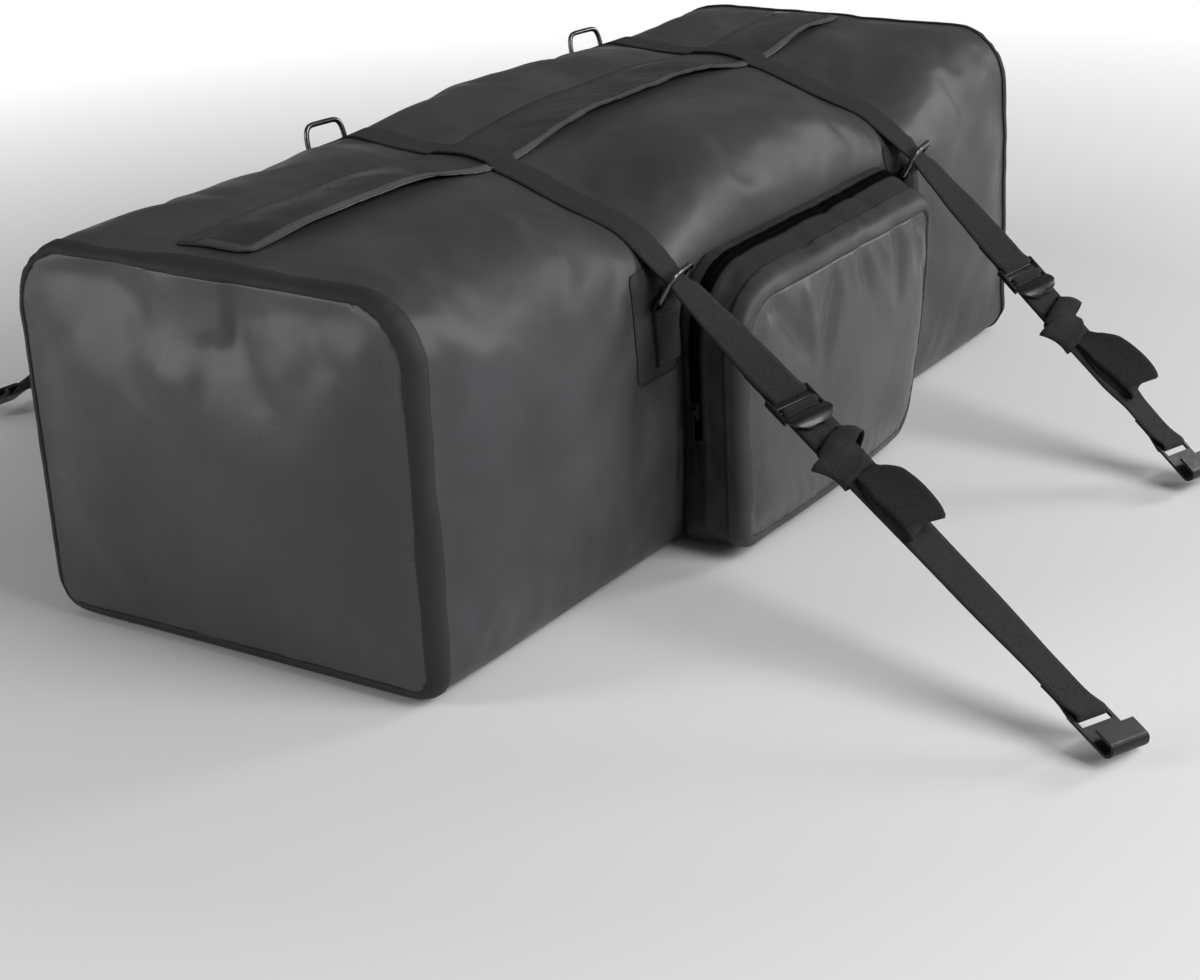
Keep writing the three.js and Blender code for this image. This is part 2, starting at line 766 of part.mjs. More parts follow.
function overStrap(strapName) {
  const front = lines[`${strapName}_front`];
  const back = lines[`${strapName}_back`];
  const firstRow = leavingRow(strapName, front);
  const lastRow = leavingRow(strapName, back);
  const onBag = [];
  for (let j = firstRow; j <= lastRow; j += 1) onBag.push(bodyRow(strapName, j));
  const frontSide = front.side;
  const backSide = back.side.clone().negate();
  const frontPath = [...buckleFold(front, true), front.point(buckleDistance * 0.7, webThickness / 2)];
  const backPath = [back.point(buckleDistance * 0.7, webThickness / 2), ...buckleFold(back, false)];
  const frontRows = ribbonRows(frontPath, frontSide);
  const backRows = ribbonRows(backPath, backSide);
  const ringRow = (line) => {
    const { bar, reach } = ringFrame(line);
    return sectionRow(line.seat, bar, reach, webWidth / 2, webThickness / 2);
  };
  return ribbonSolid([
    ...frontRows,
    ringRow(front),
    ...onBag,
    ringRow(back),
    ...backRows,
  ]);
}

// Ladder-lock buckle, in its line's own axes: x across, y up the strap, z off its face

function block(x, y, z, centreX, centreY, centreZ) {
  return new THREE.BoxGeometry(x, y, z).translate(centreX, centreY, centreZ);
}

function crossBar(length, radius, y, z) {
  return new THREE.CylinderGeometry(radius, radius, length, 10).rotateZ(Math.PI / 2).translate(0, y, z);
}

function buckleGeometry(line) {
  const inner = webWidth / 2 + 4 * fitGap;
  const width = 2 * (inner + buckleRailWidth);
  const railLength = buckleTopBar + buckleBarRadius + buckleTongueStart;
  const railMiddle = (buckleTopBar + buckleBarRadius - buckleTongueStart) / 2;
  const rail = (sign) => block(buckleRailWidth, railLength, buckleRailHeight,
    sign * (inner + buckleRailWidth / 2), railMiddle, 0);
  const barLength = width - buckleRailWidth;
  const outline = new THREE.Shape();
  const tongueHalf = width / 2;
  const tip = buckleTongueEnd - buckleTongueStart;
  outline.moveTo(-tongueHalf, 2);
  outline.lineTo(-tongueHalf, -tip * 0.35);
  outline.quadraticCurveTo(-tongueHalf, -tip, -tongueHalf * 0.5, -tip);
  outline.lineTo(tongueHalf * 0.5, -tip);
  outline.quadraticCurveTo(tongueHalf, -tip, tongueHalf, -tip * 0.35);
  outline.lineTo(tongueHalf, 2);
  outline.closePath();
  const under = fitGap + webThickness / 2 + 0.1;
  const tongue = new THREE.ExtrudeGeometry(outline, { depth: buckleTongueThickness, bevelEnabled: false, curveSegments: 4 })
    .rotateX(degToRad(-12)).translate(0, -buckleTongueStart, under + fitGap);
  return line.placed(joined(rail(-1), rail(1), crossBar(barLength, buckleBarRadius, buckleTopBar, 0),
    crossBar(barLength, buckleBarRadius, 0, buckleGripRise), tongue));
}

// Lower strap: tail, round the grip bar, down to the door clip and sewn back on itself,
// with the spare webbing tied in a slip knot

function lowerStrap(line) {
  const grip = buckleBarRadius + fitGap + webThickness / 2;
  const under = buckleGripRise - grip;
  const tailOff = under + webThickness + fitGap;
  const clipAt = -line.clip.distanceTo(line.buckle);
  const clipWrap = clipBar / 2 + 3 * fitGap + webThickness / 2;
  const clipOff = under - (webThickness + fitGap) / 2;
  const path = [
    [-tailLength, tailOff],
    [-2.4 * grip, tailOff],
    [-1.5 * grip, tailOff + 0.35 * grip],
    ...arc(0, buckleGripRise, grip, 180, -90, 7),
    [clipAt + 4 * clipWrap, under],
    ...arc(clipAt, clipOff, clipWrap, 90, 270),
    [clipAt + 4 * clipWrap, under - webThickness - fitGap],
    [clipAt + webFold, under - webThickness - fitGap],
  ].map(([along, off]) => line.point(along, off));
  const strap = ribbonSolid(ribbonRows(path, line.side));
  return joined(strap, knotBand(line, under), bightLoop(line, tailOff));
}

function knotBand(line, under) {
  const half = webWidth / 2;
  const rounded = (wide, high) => {
    const corner = high * 0.8;
    const shape = new THREE.Shape();
    shape.moveTo(-wide + corner, -high);
    shape.lineTo(wide - corner, -high);
    shape.absarc(wide - corner, -high + corner, corner, -Math.PI / 2, 0);
    shape.lineTo(wide, high - corner);
    shape.absarc(wide - corner, high - corner, corner, 0, Math.PI / 2);
    shape.lineTo(-wide + corner, high);
    shape.absarc(-wide + corner, high - corner, corner, Math.PI / 2, Math.PI);
    shape.lineTo(-wide, -high + corner);
    shape.absarc(-wide + corner, -high + corner, corner, Math.PI, Math.PI * 1.5);
    return shape;
  };
  const outer = rounded(half + knotWall, 3 * webThickness + knotWall);
  outer.holes.push(rounded(half - fitGap, 3 * webThickness));
  const band = new THREE.ExtrudeGeometry(outer, { depth: knotLength, bevelEnabled: false, curveSegments: 2 })
    .rotateX(Math.PI / 2).translate(0, knotLength / 2, 0)
    .rotateZ(degToRad(knotSlant)).translate(0, -knotDistance, under + webThickness);
  return line.placed(band);
}

function bightLoop(line, tailOff) {
  const start = knotDistance - knotLength * 0.3;
  const swing = degToRad(loopSwing);
  const tip = loopLength;
  const low = tailOff + loopClearance;
  const high = loopHeight;
  const profile = [
    [0, low + high * 0.2], [0.12, low + high * 0.35], [0.35, low + high * 0.75], [0.62, low + high],
    [0.84, low + high * 0.95], [0.95, low + high * 0.72], [1, low + high * 0.28],
    [0.97, low + high * 0.07], [0.88, low], [0.6, low], [0.3, low], [0.02, low],
  ];
  const along = vec(Math.sin(swing), -Math.cos(swing), 0);
  const side = vec(Math.cos(swing), Math.sin(swing), 0);
  const path = profile.map(([share, off]) => along.clone().multiplyScalar(share * tip)
    .add(vec(0, -start, off)));
  return line.placed(ribbonSolid(ribbonRows(path, side, webWidth / 2 - 2 * fitGap)));
}

// Door clip: a strip bent to a hook, with a slot for the webbing

function clipGeometry(line) {
  const profile = new THREE.Shape();
  const bend = clipMouth / 2 + clipThickness;
  profile.moveTo(clipBar / 2, -clipThickness / 2);
  profile.lineTo(clipBar / 2, clipThickness / 2);
  profile.lineTo(-clipLength + bend, clipThickness / 2);
  const innerCentre = clipThickness / 2 + clipMouth / 2;
  profile.absarc(-clipLength + bend, innerCentre, clipMouth / 2, -Math.PI / 2, Math.PI / 2, true);
  profile.lineTo(-clipLength + bend + clipLip, innerCentre + clipMouth / 2);
  profile.lineTo(-clipLength + bend + clipLip, innerCentre + clipMouth / 2 + clipThickness);
  profile.lineTo(-clipLength + bend, innerCentre + clipMouth / 2 + clipThickness);
  profile.absarc(-clipLength + bend, innerCentre, bend, Math.PI / 2, -Math.PI / 2, false);
  const strip = new THREE.ExtrudeGeometry(profile, { depth: clipWidth, bevelEnabled: false, curveSegments: 6 })
    .applyMatrix4(new THREE.Matrix4().makeBasis(vec(0, 1, 0), vec(0, 0, 1), vec(1, 0, 0)))
    .translate(-clipWidth / 2, 0, 0);
  const slot = block(webWidth + 6 * fitGap, clipSlot, 4 * clipThickness, 0, -(clipBar + clipSlot) / 2, 0);
  return line.placed(cutBy(strip, slot), clipCentre(line));
}

function clipCentre(line) {
  const under = buckleGripRise - (buckleBarRadius + fitGap + webThickness / 2);
  return line.clip.clone().addScaledVector(line.normal, under - (webThickness + fitGap) / 2);
}

// Pocket: a skin that starts inside the bag's side, comes out along the gusset and closes over the face

const wallY = -halfWidth;
const pocketOut = (depth) => wallY - depth;

function pocketOutline(share, inset) {
  const mix = (key) => lerp(pocketBase[key], pocketFace[key], share);
  const left = mix('left') + inset;
  const right = mix('right') - inset;
  const bottom = mix('bottom') + inset;
  const top = mix('top') - inset;
  const cut = pocketLowerRightCut * share;
  const radius = (key) => Math.max(3, pocketCornerRadii[key] - inset);
  const corners = [
    { x: left, z: bottom, r: radius('bottomLeft'), from: 270, to: 180 },
    { x: left, z: top, r: radius('topLeft'), from: 180, to: 90 },
    { x: right, z: top, r: radius('topRight'), from: 90, to: 0 },
    { x: right - cut, z: bottom, r: radius('bottomRight'), from: 0, to: -90 },
  ];
  const points = [];
  corners.forEach(({ x, z, r, from, to }, k) => {
    const centreX = x + (k < 2 ? r : -r);
    const centreZ = z + (k === 0 || k === 3 ? r : -r);
    for (let step = 0; step <= 5; step += 1) {
      const turn = degToRad(lerp(from, to, step / 5));
      points.push([centreX + r * Math.cos(turn), centreZ + r * Math.sin(turn)]);
    }
  });
  return points;
}

// The outline starts at the lower left corner. Each corner has six points.
const cornerPoints = 6;
const leftCornerEnd = cornerPoints - 1;
const topShares = [0.2, 0.4, 0.6, 0.8];

function pocketMarks() {
  const leftRun = pocketOutline(0.5, 0);
  const lowEnd = leftRun[leftCornerEnd];
  const highStart = leftRun[leftCornerEnd + 1];
  const share = (z) => (z - lowEnd[1]) / (highStart[1] - lowEnd[1]);
  return { zipLow: share(pocketZipLow) };
}

// Rows go up the left side, over the top and down the right, then along the bottom.
function pocketColumn(depth, share, inset) {
  const outline = pocketOutline(share, inset);
  const { zipLow } = pocketMarks();
  const between = (a, b, t) => [lerp(a[0], b[0], t), lerp(a[1], b[1], t)];
  const rows = [];
  for (let k = 0; k < outline.length; k += 1) {
    rows.push(outline[k]);
    const next = outline[(k + 1) % outline.length];
    if (k === leftCornerEnd) rows.push(...[zipLow, (1 + zipLow) / 2].map((t) => between(outline[k], next, t)));
    if (k === 2 * cornerPoints - 1) rows.push(...topShares.map((t) => between(outline[k], next, t)));
    if (k === 3 * cornerPoints - 1) rows.push(...[0.33, 0.67].map((t) => between(outline[k], next, t)));
    if (k === 4 * cornerPoints - 1) rows.push(...[0.25, 0.5, 0.75].map((t) => between(outline[k], next, t)));
  }
  return rows.map(([x, z]) => {
    const right = smooth((x - lerp(pocketFace.left, pocketFace.right, 0.45)) / (0.55 * (pocketFace.right - pocketFace.left)));
    const low = smooth((0.7 * pocketFace.top - z) / (0.7 * pocketFace.top));
    const sag = pocketSag * right * low * share;
    return vec(x, pocketOut(depth) + sag, z);
  });
}

const zipFirstRow = leftCornerEnd + 1;
const leftRows = 2;
const rowsPastTop = 1;
const zipLastRow = zipFirstRow + leftRows + cornerPoints + topShares.length + rowsPastTop;

function pocketSkin() {
  const columns = [];
  const names = {};
  const add = (name, depth, share, inset = 0) => {
    names[name] = columns.length;
    columns.push(pocketColumn(depth, share, inset));
  };
  const gussetShare = (depth) => clamp(depth / pocketDepth, 0, 1);
  const bindFrom = pocketDepth - pocketEdgeRadius - bindingWidth;
  const straight = (name, depth) => add(name, depth, gussetShare(depth));
  straight('root', -pocketSink);
  straight('wall', sideBulge);
  straight('zipLow', pocketZipFromWall - pocketZipWidth / 2);
  straight('zipHigh', pocketZipFromWall + pocketZipWidth / 2);
  straight('bindEdge', bindFrom);
  straight('edgeStart', pocketDepth - pocketEdgeRadius);
  for (const angle of [45, 90]) {
    const turn = degToRad(angle);
    add(`edge${angle}`, pocketDepth - pocketEdgeRadius * (1 - Math.sin(turn)), 1, pocketEdgeRadius * (1 - Math.cos(turn)));
  }
  add('bindInner', pocketDepth, 1, bindingWidth);
  add('panelEdge', pocketDepth, 1, bindingWidth + 2 * fitGap);
  const faceHeight = pocketFace.top - pocketFace.bottom;
  const faceOut = pocketDepth + facePanelSwell;
  add('panelMiddle', faceOut - facePanelSwell / 3, 1, bindingWidth + faceHeight * 0.16);
  add('panelCore', faceOut, 1, bindingWidth + faceHeight * 0.336);
  const middle = vec((pocketFace.left + pocketFace.right) / 2, pocketOut(faceOut), (pocketFace.bottom + pocketFace.top) / 2);
  const rootMiddle = vec(middle.x, pocketOut(-pocketSink), middle.z);
  const shifted = [columns[0].map(() => rootMiddle.clone()), ...columns, columns[0].map(() => middle.clone())];
  const index = Object.fromEntries(Object.entries(names).map(([name, k]) => [name, k + 1]));
  return { skin: new Skin(shifted), index };
}

const pocket = pocketSkin();

function pocketZipFrame() {
  const share = clamp(pocketZipFromWall / pocketDepth, 0, 1);
  const at = (z) => {
    const outline = pocketOutline(share, 0);
    const [low, high] = [outline[leftCornerEnd], outline[leftCornerEnd + 1]];
    return lerp(low[0], high[0], (z - low[1]) / (high[1] - low[1]));
  };
  return { x: at(pocketSliderHeight), y: pocketOut(pocketZipFromWall), z: pocketSliderHeight };
}

function pocketSliderParts() {
  const { x, y, z } = pocketZipFrame();
  const face = x - fitGap - pocketZipHeight - fitGap;
  const body = block(pocketSliderThickness, pocketSliderWidth, pocketSliderLength, face - pocketSliderThickness / 2, y, z);
  const eyeInner = pocketPullPin / 2 + fitGap;
  const eyeOuter = eyeInner + pocketPullEyeWall;
  const pinCentre = vec(face - pocketSliderThickness - eyeOuter - fitGap, y, z);
  const earOut = pinCentre.x - pocketPullPin;
  const ear = (sign) => block(face - earOut, pocketEarWidth, 4 * pocketPullPin,
    (face + earOut) / 2, y + sign * (pocketSliderWidth - pocketEarWidth) / 2, z);
  const pin = new THREE.CylinderGeometry(pocketPullPin / 2, pocketPullPin / 2, pocketSliderWidth - 1, 8).translate(pinCentre.x, y, z);
  const eyeWidth = pocketSliderWidth - 2 * (pocketEarWidth + fitGap);
  const profile = new THREE.Shape();
  profile.absarc(0, 0, eyeOuter, 0, Math.PI * 2);
  const hole = new THREE.Path().absarc(0, 0, eyeInner, 0, Math.PI * 2, true);
  profile.holes.push(hole);
  const eye = new THREE.ExtrudeGeometry(profile, { depth: eyeWidth, bevelEnabled: false, curveSegments: 10 })
    .translate(0, 0, -eyeWidth / 2).rotateX(Math.PI / 2).translate(pinCentre.x, y, z);
  const cordLength = pocketPullLength * 0.55;
  const cordTop = z - eyeOuter + 0.5;
  const cord = block(1.6, eyeWidth * 0.7, cordLength, pinCentre.x, y, cordTop - cordLength / 2);
  const grip = block(pocketPullThickness, pocketPullWidth, pocketPullLength - cordLength,
    pinCentre.x - 0.6, y, cordTop - cordLength - (pocketPullLength - cordLength) / 2 + 0.4);
  const lean = Math.atan((pocketFace.left - pocketBase.left) / pocketDepth);
  const leaned = (geometry) => geometry.translate(-x, -y, 0).rotateZ(lean).translate(x, y, 0);
  return { slider: leaned(joined(body, ear(-1), ear(1), pin)), pull: leaned(joined(eye, cord, grip)), lean, pinCentre };
}

function mainSliderParts() {
  const top = restingSection(mainSliderStation, { edge: 'top', t: 0.5 })[1];
  const base = bagHeight - topCrown + (top - (bagHeight - topCrown)) * Math.cos((Math.PI / 2) * (zipCentre / innerHalf)) ** 2;
  const z = base + coilTop + fitGap;
  const body = block(mainSliderLength, mainSliderWidth, mainSliderHeight, mainSliderStation, zipCentre, z + mainSliderHeight / 2);
  const pullLow = z + mainSliderHeight + fitGap;
  const bridgeX = mainSliderStation + mainSliderLength * 0.3;
  const upright = (radius, low, high) => new THREE.CylinderGeometry(radius, radius, high - low, 16)
    .rotateX(Math.PI / 2).translate(bridgeX, zipCentre, (low + high) / 2);
  const post = upright(mainPostRadius, z, pullLow + pullThickness + fitGap);
  const pull = block(mainPullLength, mainPullWidth, pullThickness, bridgeX + mainPullOverhang - mainPullLength / 2, zipCentre, pullLow + pullThickness / 2);
  const hole = upright(mainPostRadius + fitGap, z, pullLow + 2 * pullThickness);
  return { slider: joined(body, post), pull: cutBy(pull, hole), postAt: vec(bridgeX, zipCentre, pullLow) };
}

// Materials

const finish = (color, roughness, metalness = 0) => new THREE.MeshStandardMaterial({ color, roughness, metalness });
const materials = {
  tarpaulin: finish(0x2b2c2e, 0.55),
  panel: finish(0x353638, 0.55),
  tape: finish(0x222325, 0.7),
  flap: finish(0x26272a, 0.5),
  webbing: finish(0x2e2d2e, 0.85),
  steel: finish(0x6d7074, 0.3, 1),
  zip: finish(0x0d0d0e, 0.6),
  plastic: finish(0x1a1b1d, 0.3),
  clip: finish(0x17181a, 0.5),
};

// The assembly

const bag = new THREE.Group();

function addPiece(name, geometry, material) {
  const shaped = welded(geometry);
  shaped.computeVertexNormals();
  const mesh = new THREE.Mesh(shaped, material);
  mesh.name = name;
  bag.add(mesh);
  return mesh;
}

addPiece('bag_body', bagSkin.solid(), materials.tarpaulin);
for (const [name, end] of [['near', -1], ['far', 1]]) {
  const panelCut = capIndex(end, 'panelEdge');
  const span = end < 0 ? [0, panelCut] : [panelCut, lastColumn];
  const round = [0, sectionList.length];
  addPiece(`${name}_end_panel`, bagSkin.layer(...span, ...round, fitGap, fitGap + panelThickness), materials.panel);
  const edges = [capIndex(end, 'tapeEdge'), columnMark[`${name}Tape`]].sort((a, b) => a - b);
  addPiece(`${name}_seam_tape`, bagSkin.layer(...edges, ...round, fitGap, fitGap + tapeThickness), materials.tape);
}
addPiece('main_zip_chain', bagSkin.layer(columnMark.zipNear, columnMark.zipFar,
  rowMark.zipFront, rowMark.zipBack, fitGap, zipOver), materials.zip);
const mainSlider = mainSliderParts();
addPiece('main_zip_slider', mainSlider.slider, materials.steel);
addPiece('main_zip_pull', mainSlider.pull, materials.steel);
addPiece('top_flap', bagSkin.layer(columnMark.flapNear, columnMark.flapFar,
  rowMark.flapFront, rowMark.flapRear, flapUnder, flapOver), materials.flap);

for (const strapName of Object.keys(straps)) {
  const patchColumns = [columnMark[`${strapName}PatchLow`], columnMark[`${strapName}PatchHigh`]];
  addPiece(`${strapName}_front_ring_patch`, bagSkin.layer(...patchColumns,
    rowMark.frontPatchLow, rowMark.frontPatchHigh, fitGap, fitGap + patchThickness), materials.tape);
  addPiece(`${strapName}_back_ring_patch`, bagSkin.layer(...patchColumns,
    rowMark.backShoulder, rowMark.backPatchLow, fitGap, fitGap + patchThickness), materials.tape);
  addPiece(`${strapName}_over_strap`, overStrap(strapName), materials.webbing);
}
for (const line of Object.values(lines)) {
  addPiece(`${line.name}_ring_tab`, tabGeometry(line), materials.webbing);
  addPiece(`${line.name}_d_ring`, ringGeometry(line), materials.steel);
  addPiece(`${line.name}_buckle`, buckleGeometry(line), materials.plastic);
  addPiece(`${line.name}_lower_strap`, lowerStrap(line), materials.webbing);
  addPiece(`${line.name}_door_clip`, clipGeometry(line), materials.clip);
}

const { skin: pocketShell, index: pocketIndex } = pocket;
const allPocketRows = [0, pocketShell.rowCount];
addPiece('pocket_body', cutBy(pocketShell.solid(), bagClearance), materials.tarpaulin);
addPiece('pocket_binding', pocketShell.layer(pocketIndex.bindEdge, pocketIndex.bindInner,
  ...allPocketRows, fitGap, fitGap + bindingThickness), materials.tape);
addPiece('pocket_face', pocketShell.layer(pocketIndex.panelEdge, pocketShell.columns.length - 1,
  ...allPocketRows, fitGap, fitGap + facePanelThickness), materials.panel);
addPiece('pocket_zip_chain', pocketShell.layer(pocketIndex.zipLow, pocketIndex.zipHigh,
  zipFirstRow, zipLastRow, fitGap, fitGap + pocketZipHeight), materials.zip);
const pocketSlider = pocketSliderParts();
addPiece('pocket_zip_slider', pocketSlider.slider, materials.steel);
addPiece('pocket_zip_pull', pocketSlider.pull, materials.clip);

export default bag;
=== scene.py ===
"""Looks of a roof cargo bag, packed full and strapped down.

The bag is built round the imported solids. Its shell and its pocket are stuffed cloth, settled by a cloth
simulation. Panels, tapes, patches and the flap are cut from the settled surface, and the webbing is laid
over it. Metres, +Z up, X along the bag, the pocket on the -Y side.
"""

import json
import logging
import math
from dataclasses import dataclass, field
from enum import Enum
from typing import Callable, Sequence

import bmesh
import bpy
from mathutils import Matrix, Vector, noise
from mathutils.bvhtree import BVHTree


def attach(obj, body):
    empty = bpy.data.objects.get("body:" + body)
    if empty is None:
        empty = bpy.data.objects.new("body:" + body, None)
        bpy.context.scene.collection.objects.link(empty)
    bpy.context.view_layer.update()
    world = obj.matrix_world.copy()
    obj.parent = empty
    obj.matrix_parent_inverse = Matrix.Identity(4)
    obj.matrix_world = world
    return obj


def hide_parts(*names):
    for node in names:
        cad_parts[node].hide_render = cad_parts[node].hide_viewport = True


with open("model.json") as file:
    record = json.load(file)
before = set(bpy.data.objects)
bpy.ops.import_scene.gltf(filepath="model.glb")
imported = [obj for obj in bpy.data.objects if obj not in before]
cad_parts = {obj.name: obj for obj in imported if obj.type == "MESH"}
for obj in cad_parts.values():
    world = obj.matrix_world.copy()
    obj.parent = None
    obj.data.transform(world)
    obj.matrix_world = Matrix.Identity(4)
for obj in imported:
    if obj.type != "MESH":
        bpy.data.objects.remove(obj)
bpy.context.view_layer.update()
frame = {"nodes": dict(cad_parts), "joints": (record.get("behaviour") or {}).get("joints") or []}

log = logging.getLogger("roof_bag")
Colour = tuple[float, float, float]
Cover = Callable[[Vector], float]
Spot = tuple[Vector, Vector]
UP = Vector((0.0, 0.0, 1.0))
BAG_BODY = "bag"
MERGE = 1e-5


class Side(Enum):
    """The two long sides of the bag, as the sign of Y."""

    FRONT = -1
    BACK = 1


class Slot(Enum):
    """The record's material slots."""

    TARPAULIN = "tarpaulin"
    PANEL = "panel"
    TAPE = "tape"
    FLAP = "flap"
    WEBBING = "webbing"
    STEEL = "steel"
    ZIP = "zip"
    PLASTIC = "plastic"
    CLIP = "clip"


@dataclass(frozen=True)
class BagSizes:
    """The bag's own sizes, as its solids have them."""

    half_length: float = 0.560
    half_width: float = 0.222
    top: float = 0.3635
    base: float = 0.004
    top_radius: float = 0.060
    base_radius: float = 0.028
    end_plane: float = 0.550
    tape_on_end: float = 0.0115
    tape_on_tube: float = 0.0170
    skew: float = 0.2
    near_strap: float = -0.151
    far_strap: float = 0.330

    @property
    def stations(self) -> tuple[float, float]:
        """Where the two straps cross the bag's middle."""
        return self.near_strap, self.far_strap

    def strap_offset(self, point: Vector, station: float) -> float:
        """How far a point lies from a strap's middle line, along X."""
        return point.x - station - self.skew * point.y

    def end_outline(self, point: Vector) -> float:
        """Signed distance to the outline of the bag's end, in its plane.

        Args:
            point: The point to measure.

        Returns:
            The distance, negative inside.
        """
        middle = (self.top + self.base) / 2
        radius = self.top_radius if point.z > middle else self.base_radius
        across = abs(point.y) - self.half_width
        return rounded_distance(across, abs(point.z - middle) - (self.top - middle), radius)


BAG = BagSizes()


@dataclass(frozen=True)
class WebbingSizes:
    """Webbing and the gaps that it keeps."""

    width: float = 0.038
    thickness: float = 0.0016
    gap: float = 0.0003
    fold: float = 0.038

    @property
    def sewn_half(self) -> float:
        """Half the width of a box sewn on it."""
        return self.width / 2 - 0.004


WEB = WebbingSizes()


def rounded_distance(across: float, along: float, radius: float) -> float:
    """Signed distance to a rounded corner, from the signed distances to its two edges: negative inside."""
    a, b = across + radius, along + radius
    return min(max(a, b), 0.0) + math.hypot(max(a, 0.0), max(b, 0.0)) - radius


def smooth(share: float) -> float:
    """An ease from 0 to 1."""
    t = max(0.0, min(1.0, share))
    return t * t * (3 - 2 * t)


def ease(value: float, start: float, end: float) -> float:
    """An ease from 0 at start to 1 at end."""
    return smooth((value - start) / (end - start))


# Materials


class Graph:
    """A node tree, with short ways to add nodes to it."""

    def __init__(self, tree: bpy.types.NodeTree) -> None:
        """Takes the tree to build in."""
        self.tree = tree

    def node(self, kind: str, inputs: dict | None = None, **settings: object) -> bpy.types.Node:
        """Adds a node.

        Args:
            kind: The node's type without its ShaderNode prefix.
            inputs: Values or sockets for its inputs, by name or index.
            settings: Attributes to set on the node.

        Returns:
            The new node.
        """
        made = self.tree.nodes.new(kind if kind.startswith("Node") else f"ShaderNode{kind}")
        for name, value in settings.items():
            setattr(made, name, value)
        for key, value in (inputs or {}).items():
            if isinstance(value, bpy.types.NodeSocket):
                self.tree.links.new(value, made.inputs[key])
            else:
                made.inputs[key].default_value = value
        return made

    def link(self, node: bpy.types.Node, **sockets: bpy.types.NodeSocket) -> None:
        """Joins sockets to a node's inputs: underscores in a name stand for spaces."""
        for name, socket in sockets.items():
            self.tree.links.new(socket, node.inputs[name.replace("_", " ")])

    def math(self, operation: str, first: object, second: object = 0.0, third: object = None) -> bpy.types.NodeSocket:
        """Adds a Math node.

        Args:
            operation: What it works out.
            first: Its first value or socket.
            second: Its second value or socket.
            third: Its third one, where the operation has three.

        Returns:
            The result's socket.
        """
        inputs = {0: first, 1: second}
        if third is not None:
            inputs[2] = third
        return self.node("Math", inputs, operation=operation).outputs[0]

    def ramp(self, value: object, low: float, high: float, to_low: float = 0.0,
             to_high: float = 1.0) -> bpy.types.NodeSocket:
        """Maps a value from one range to another, held at its ends."""
        inputs = {"Value": value, "From Min": low, "From Max": high, "To Min": to_low, "To Max": to_high}
        return self.node("MapRange", inputs).outputs["Result"]

    def tint(self, share: object, dark: Colour, light: Colour) -> bpy.types.NodeSocket:
        """Mixes two colours by a share."""
        inputs = {"Factor": share, 6: (*dark, 1.0), 7: (*light, 1.0)}
        return self.node("Mix", inputs, data_type="RGBA").outputs[2]

    def noise(self, at: object, scale: object, detail: float, roughness: float) -> bpy.types.NodeSocket:
        """Adds a Noise Texture node and returns its value."""
        inputs = {"Vector": at, "Scale": scale, "Detail": detail, "Roughness": roughness}
        return self.node("TexNoise", inputs).outputs["Fac"]

    def bump(self, height: object, depth: float, normal: object = None) -> bpy.types.NodeSocket:
        """Adds a Bump node.

        Args:
            height: The height's socket.
            depth: How deep a height of 1 is, in metres.
            normal: The normal that it starts from, or None for the surface's own.

        Returns:
            The bumped normal's socket.
        """
        inputs = {"Height": height, "Distance": depth, "Strength": 1.0}
        if normal is not None:
            inputs["Normal"] = normal
        return self.node("Bump", inputs).outputs["Normal"]


def new_group(name: str, inputs: dict[str, object],
              outputs: Sequence[str]) -> tuple[bpy.types.NodeTree, Graph, dict, bpy.types.Node]:
    """Makes an empty shader node group.

    Args:
        name: The group's name.
        inputs: Each input's name and default: a number, or None for a vector.
        outputs: The names of the outputs, all numbers.

    Returns:
        The group, its graph, its input sockets by name and its output node.
    """
    tree = bpy.data.node_groups.new(name, "ShaderNodeTree")
    for title, value in inputs.items():
        kind = "NodeSocketVector" if value is None else "NodeSocketFloat"
        socket = tree.interface.new_socket(title, in_out="INPUT", socket_type=kind)
        if value is not None:
            socket.default_value = value
    for title in outputs:
        tree.interface.new_socket(title, in_out="OUTPUT", socket_type="NodeSocketFloat")
    graph = Graph(tree)
    start = graph.node("NodeGroupInput")
    return tree, graph, {title: start.outputs[title] for title in inputs}, graph.node("NodeGroupOutput")


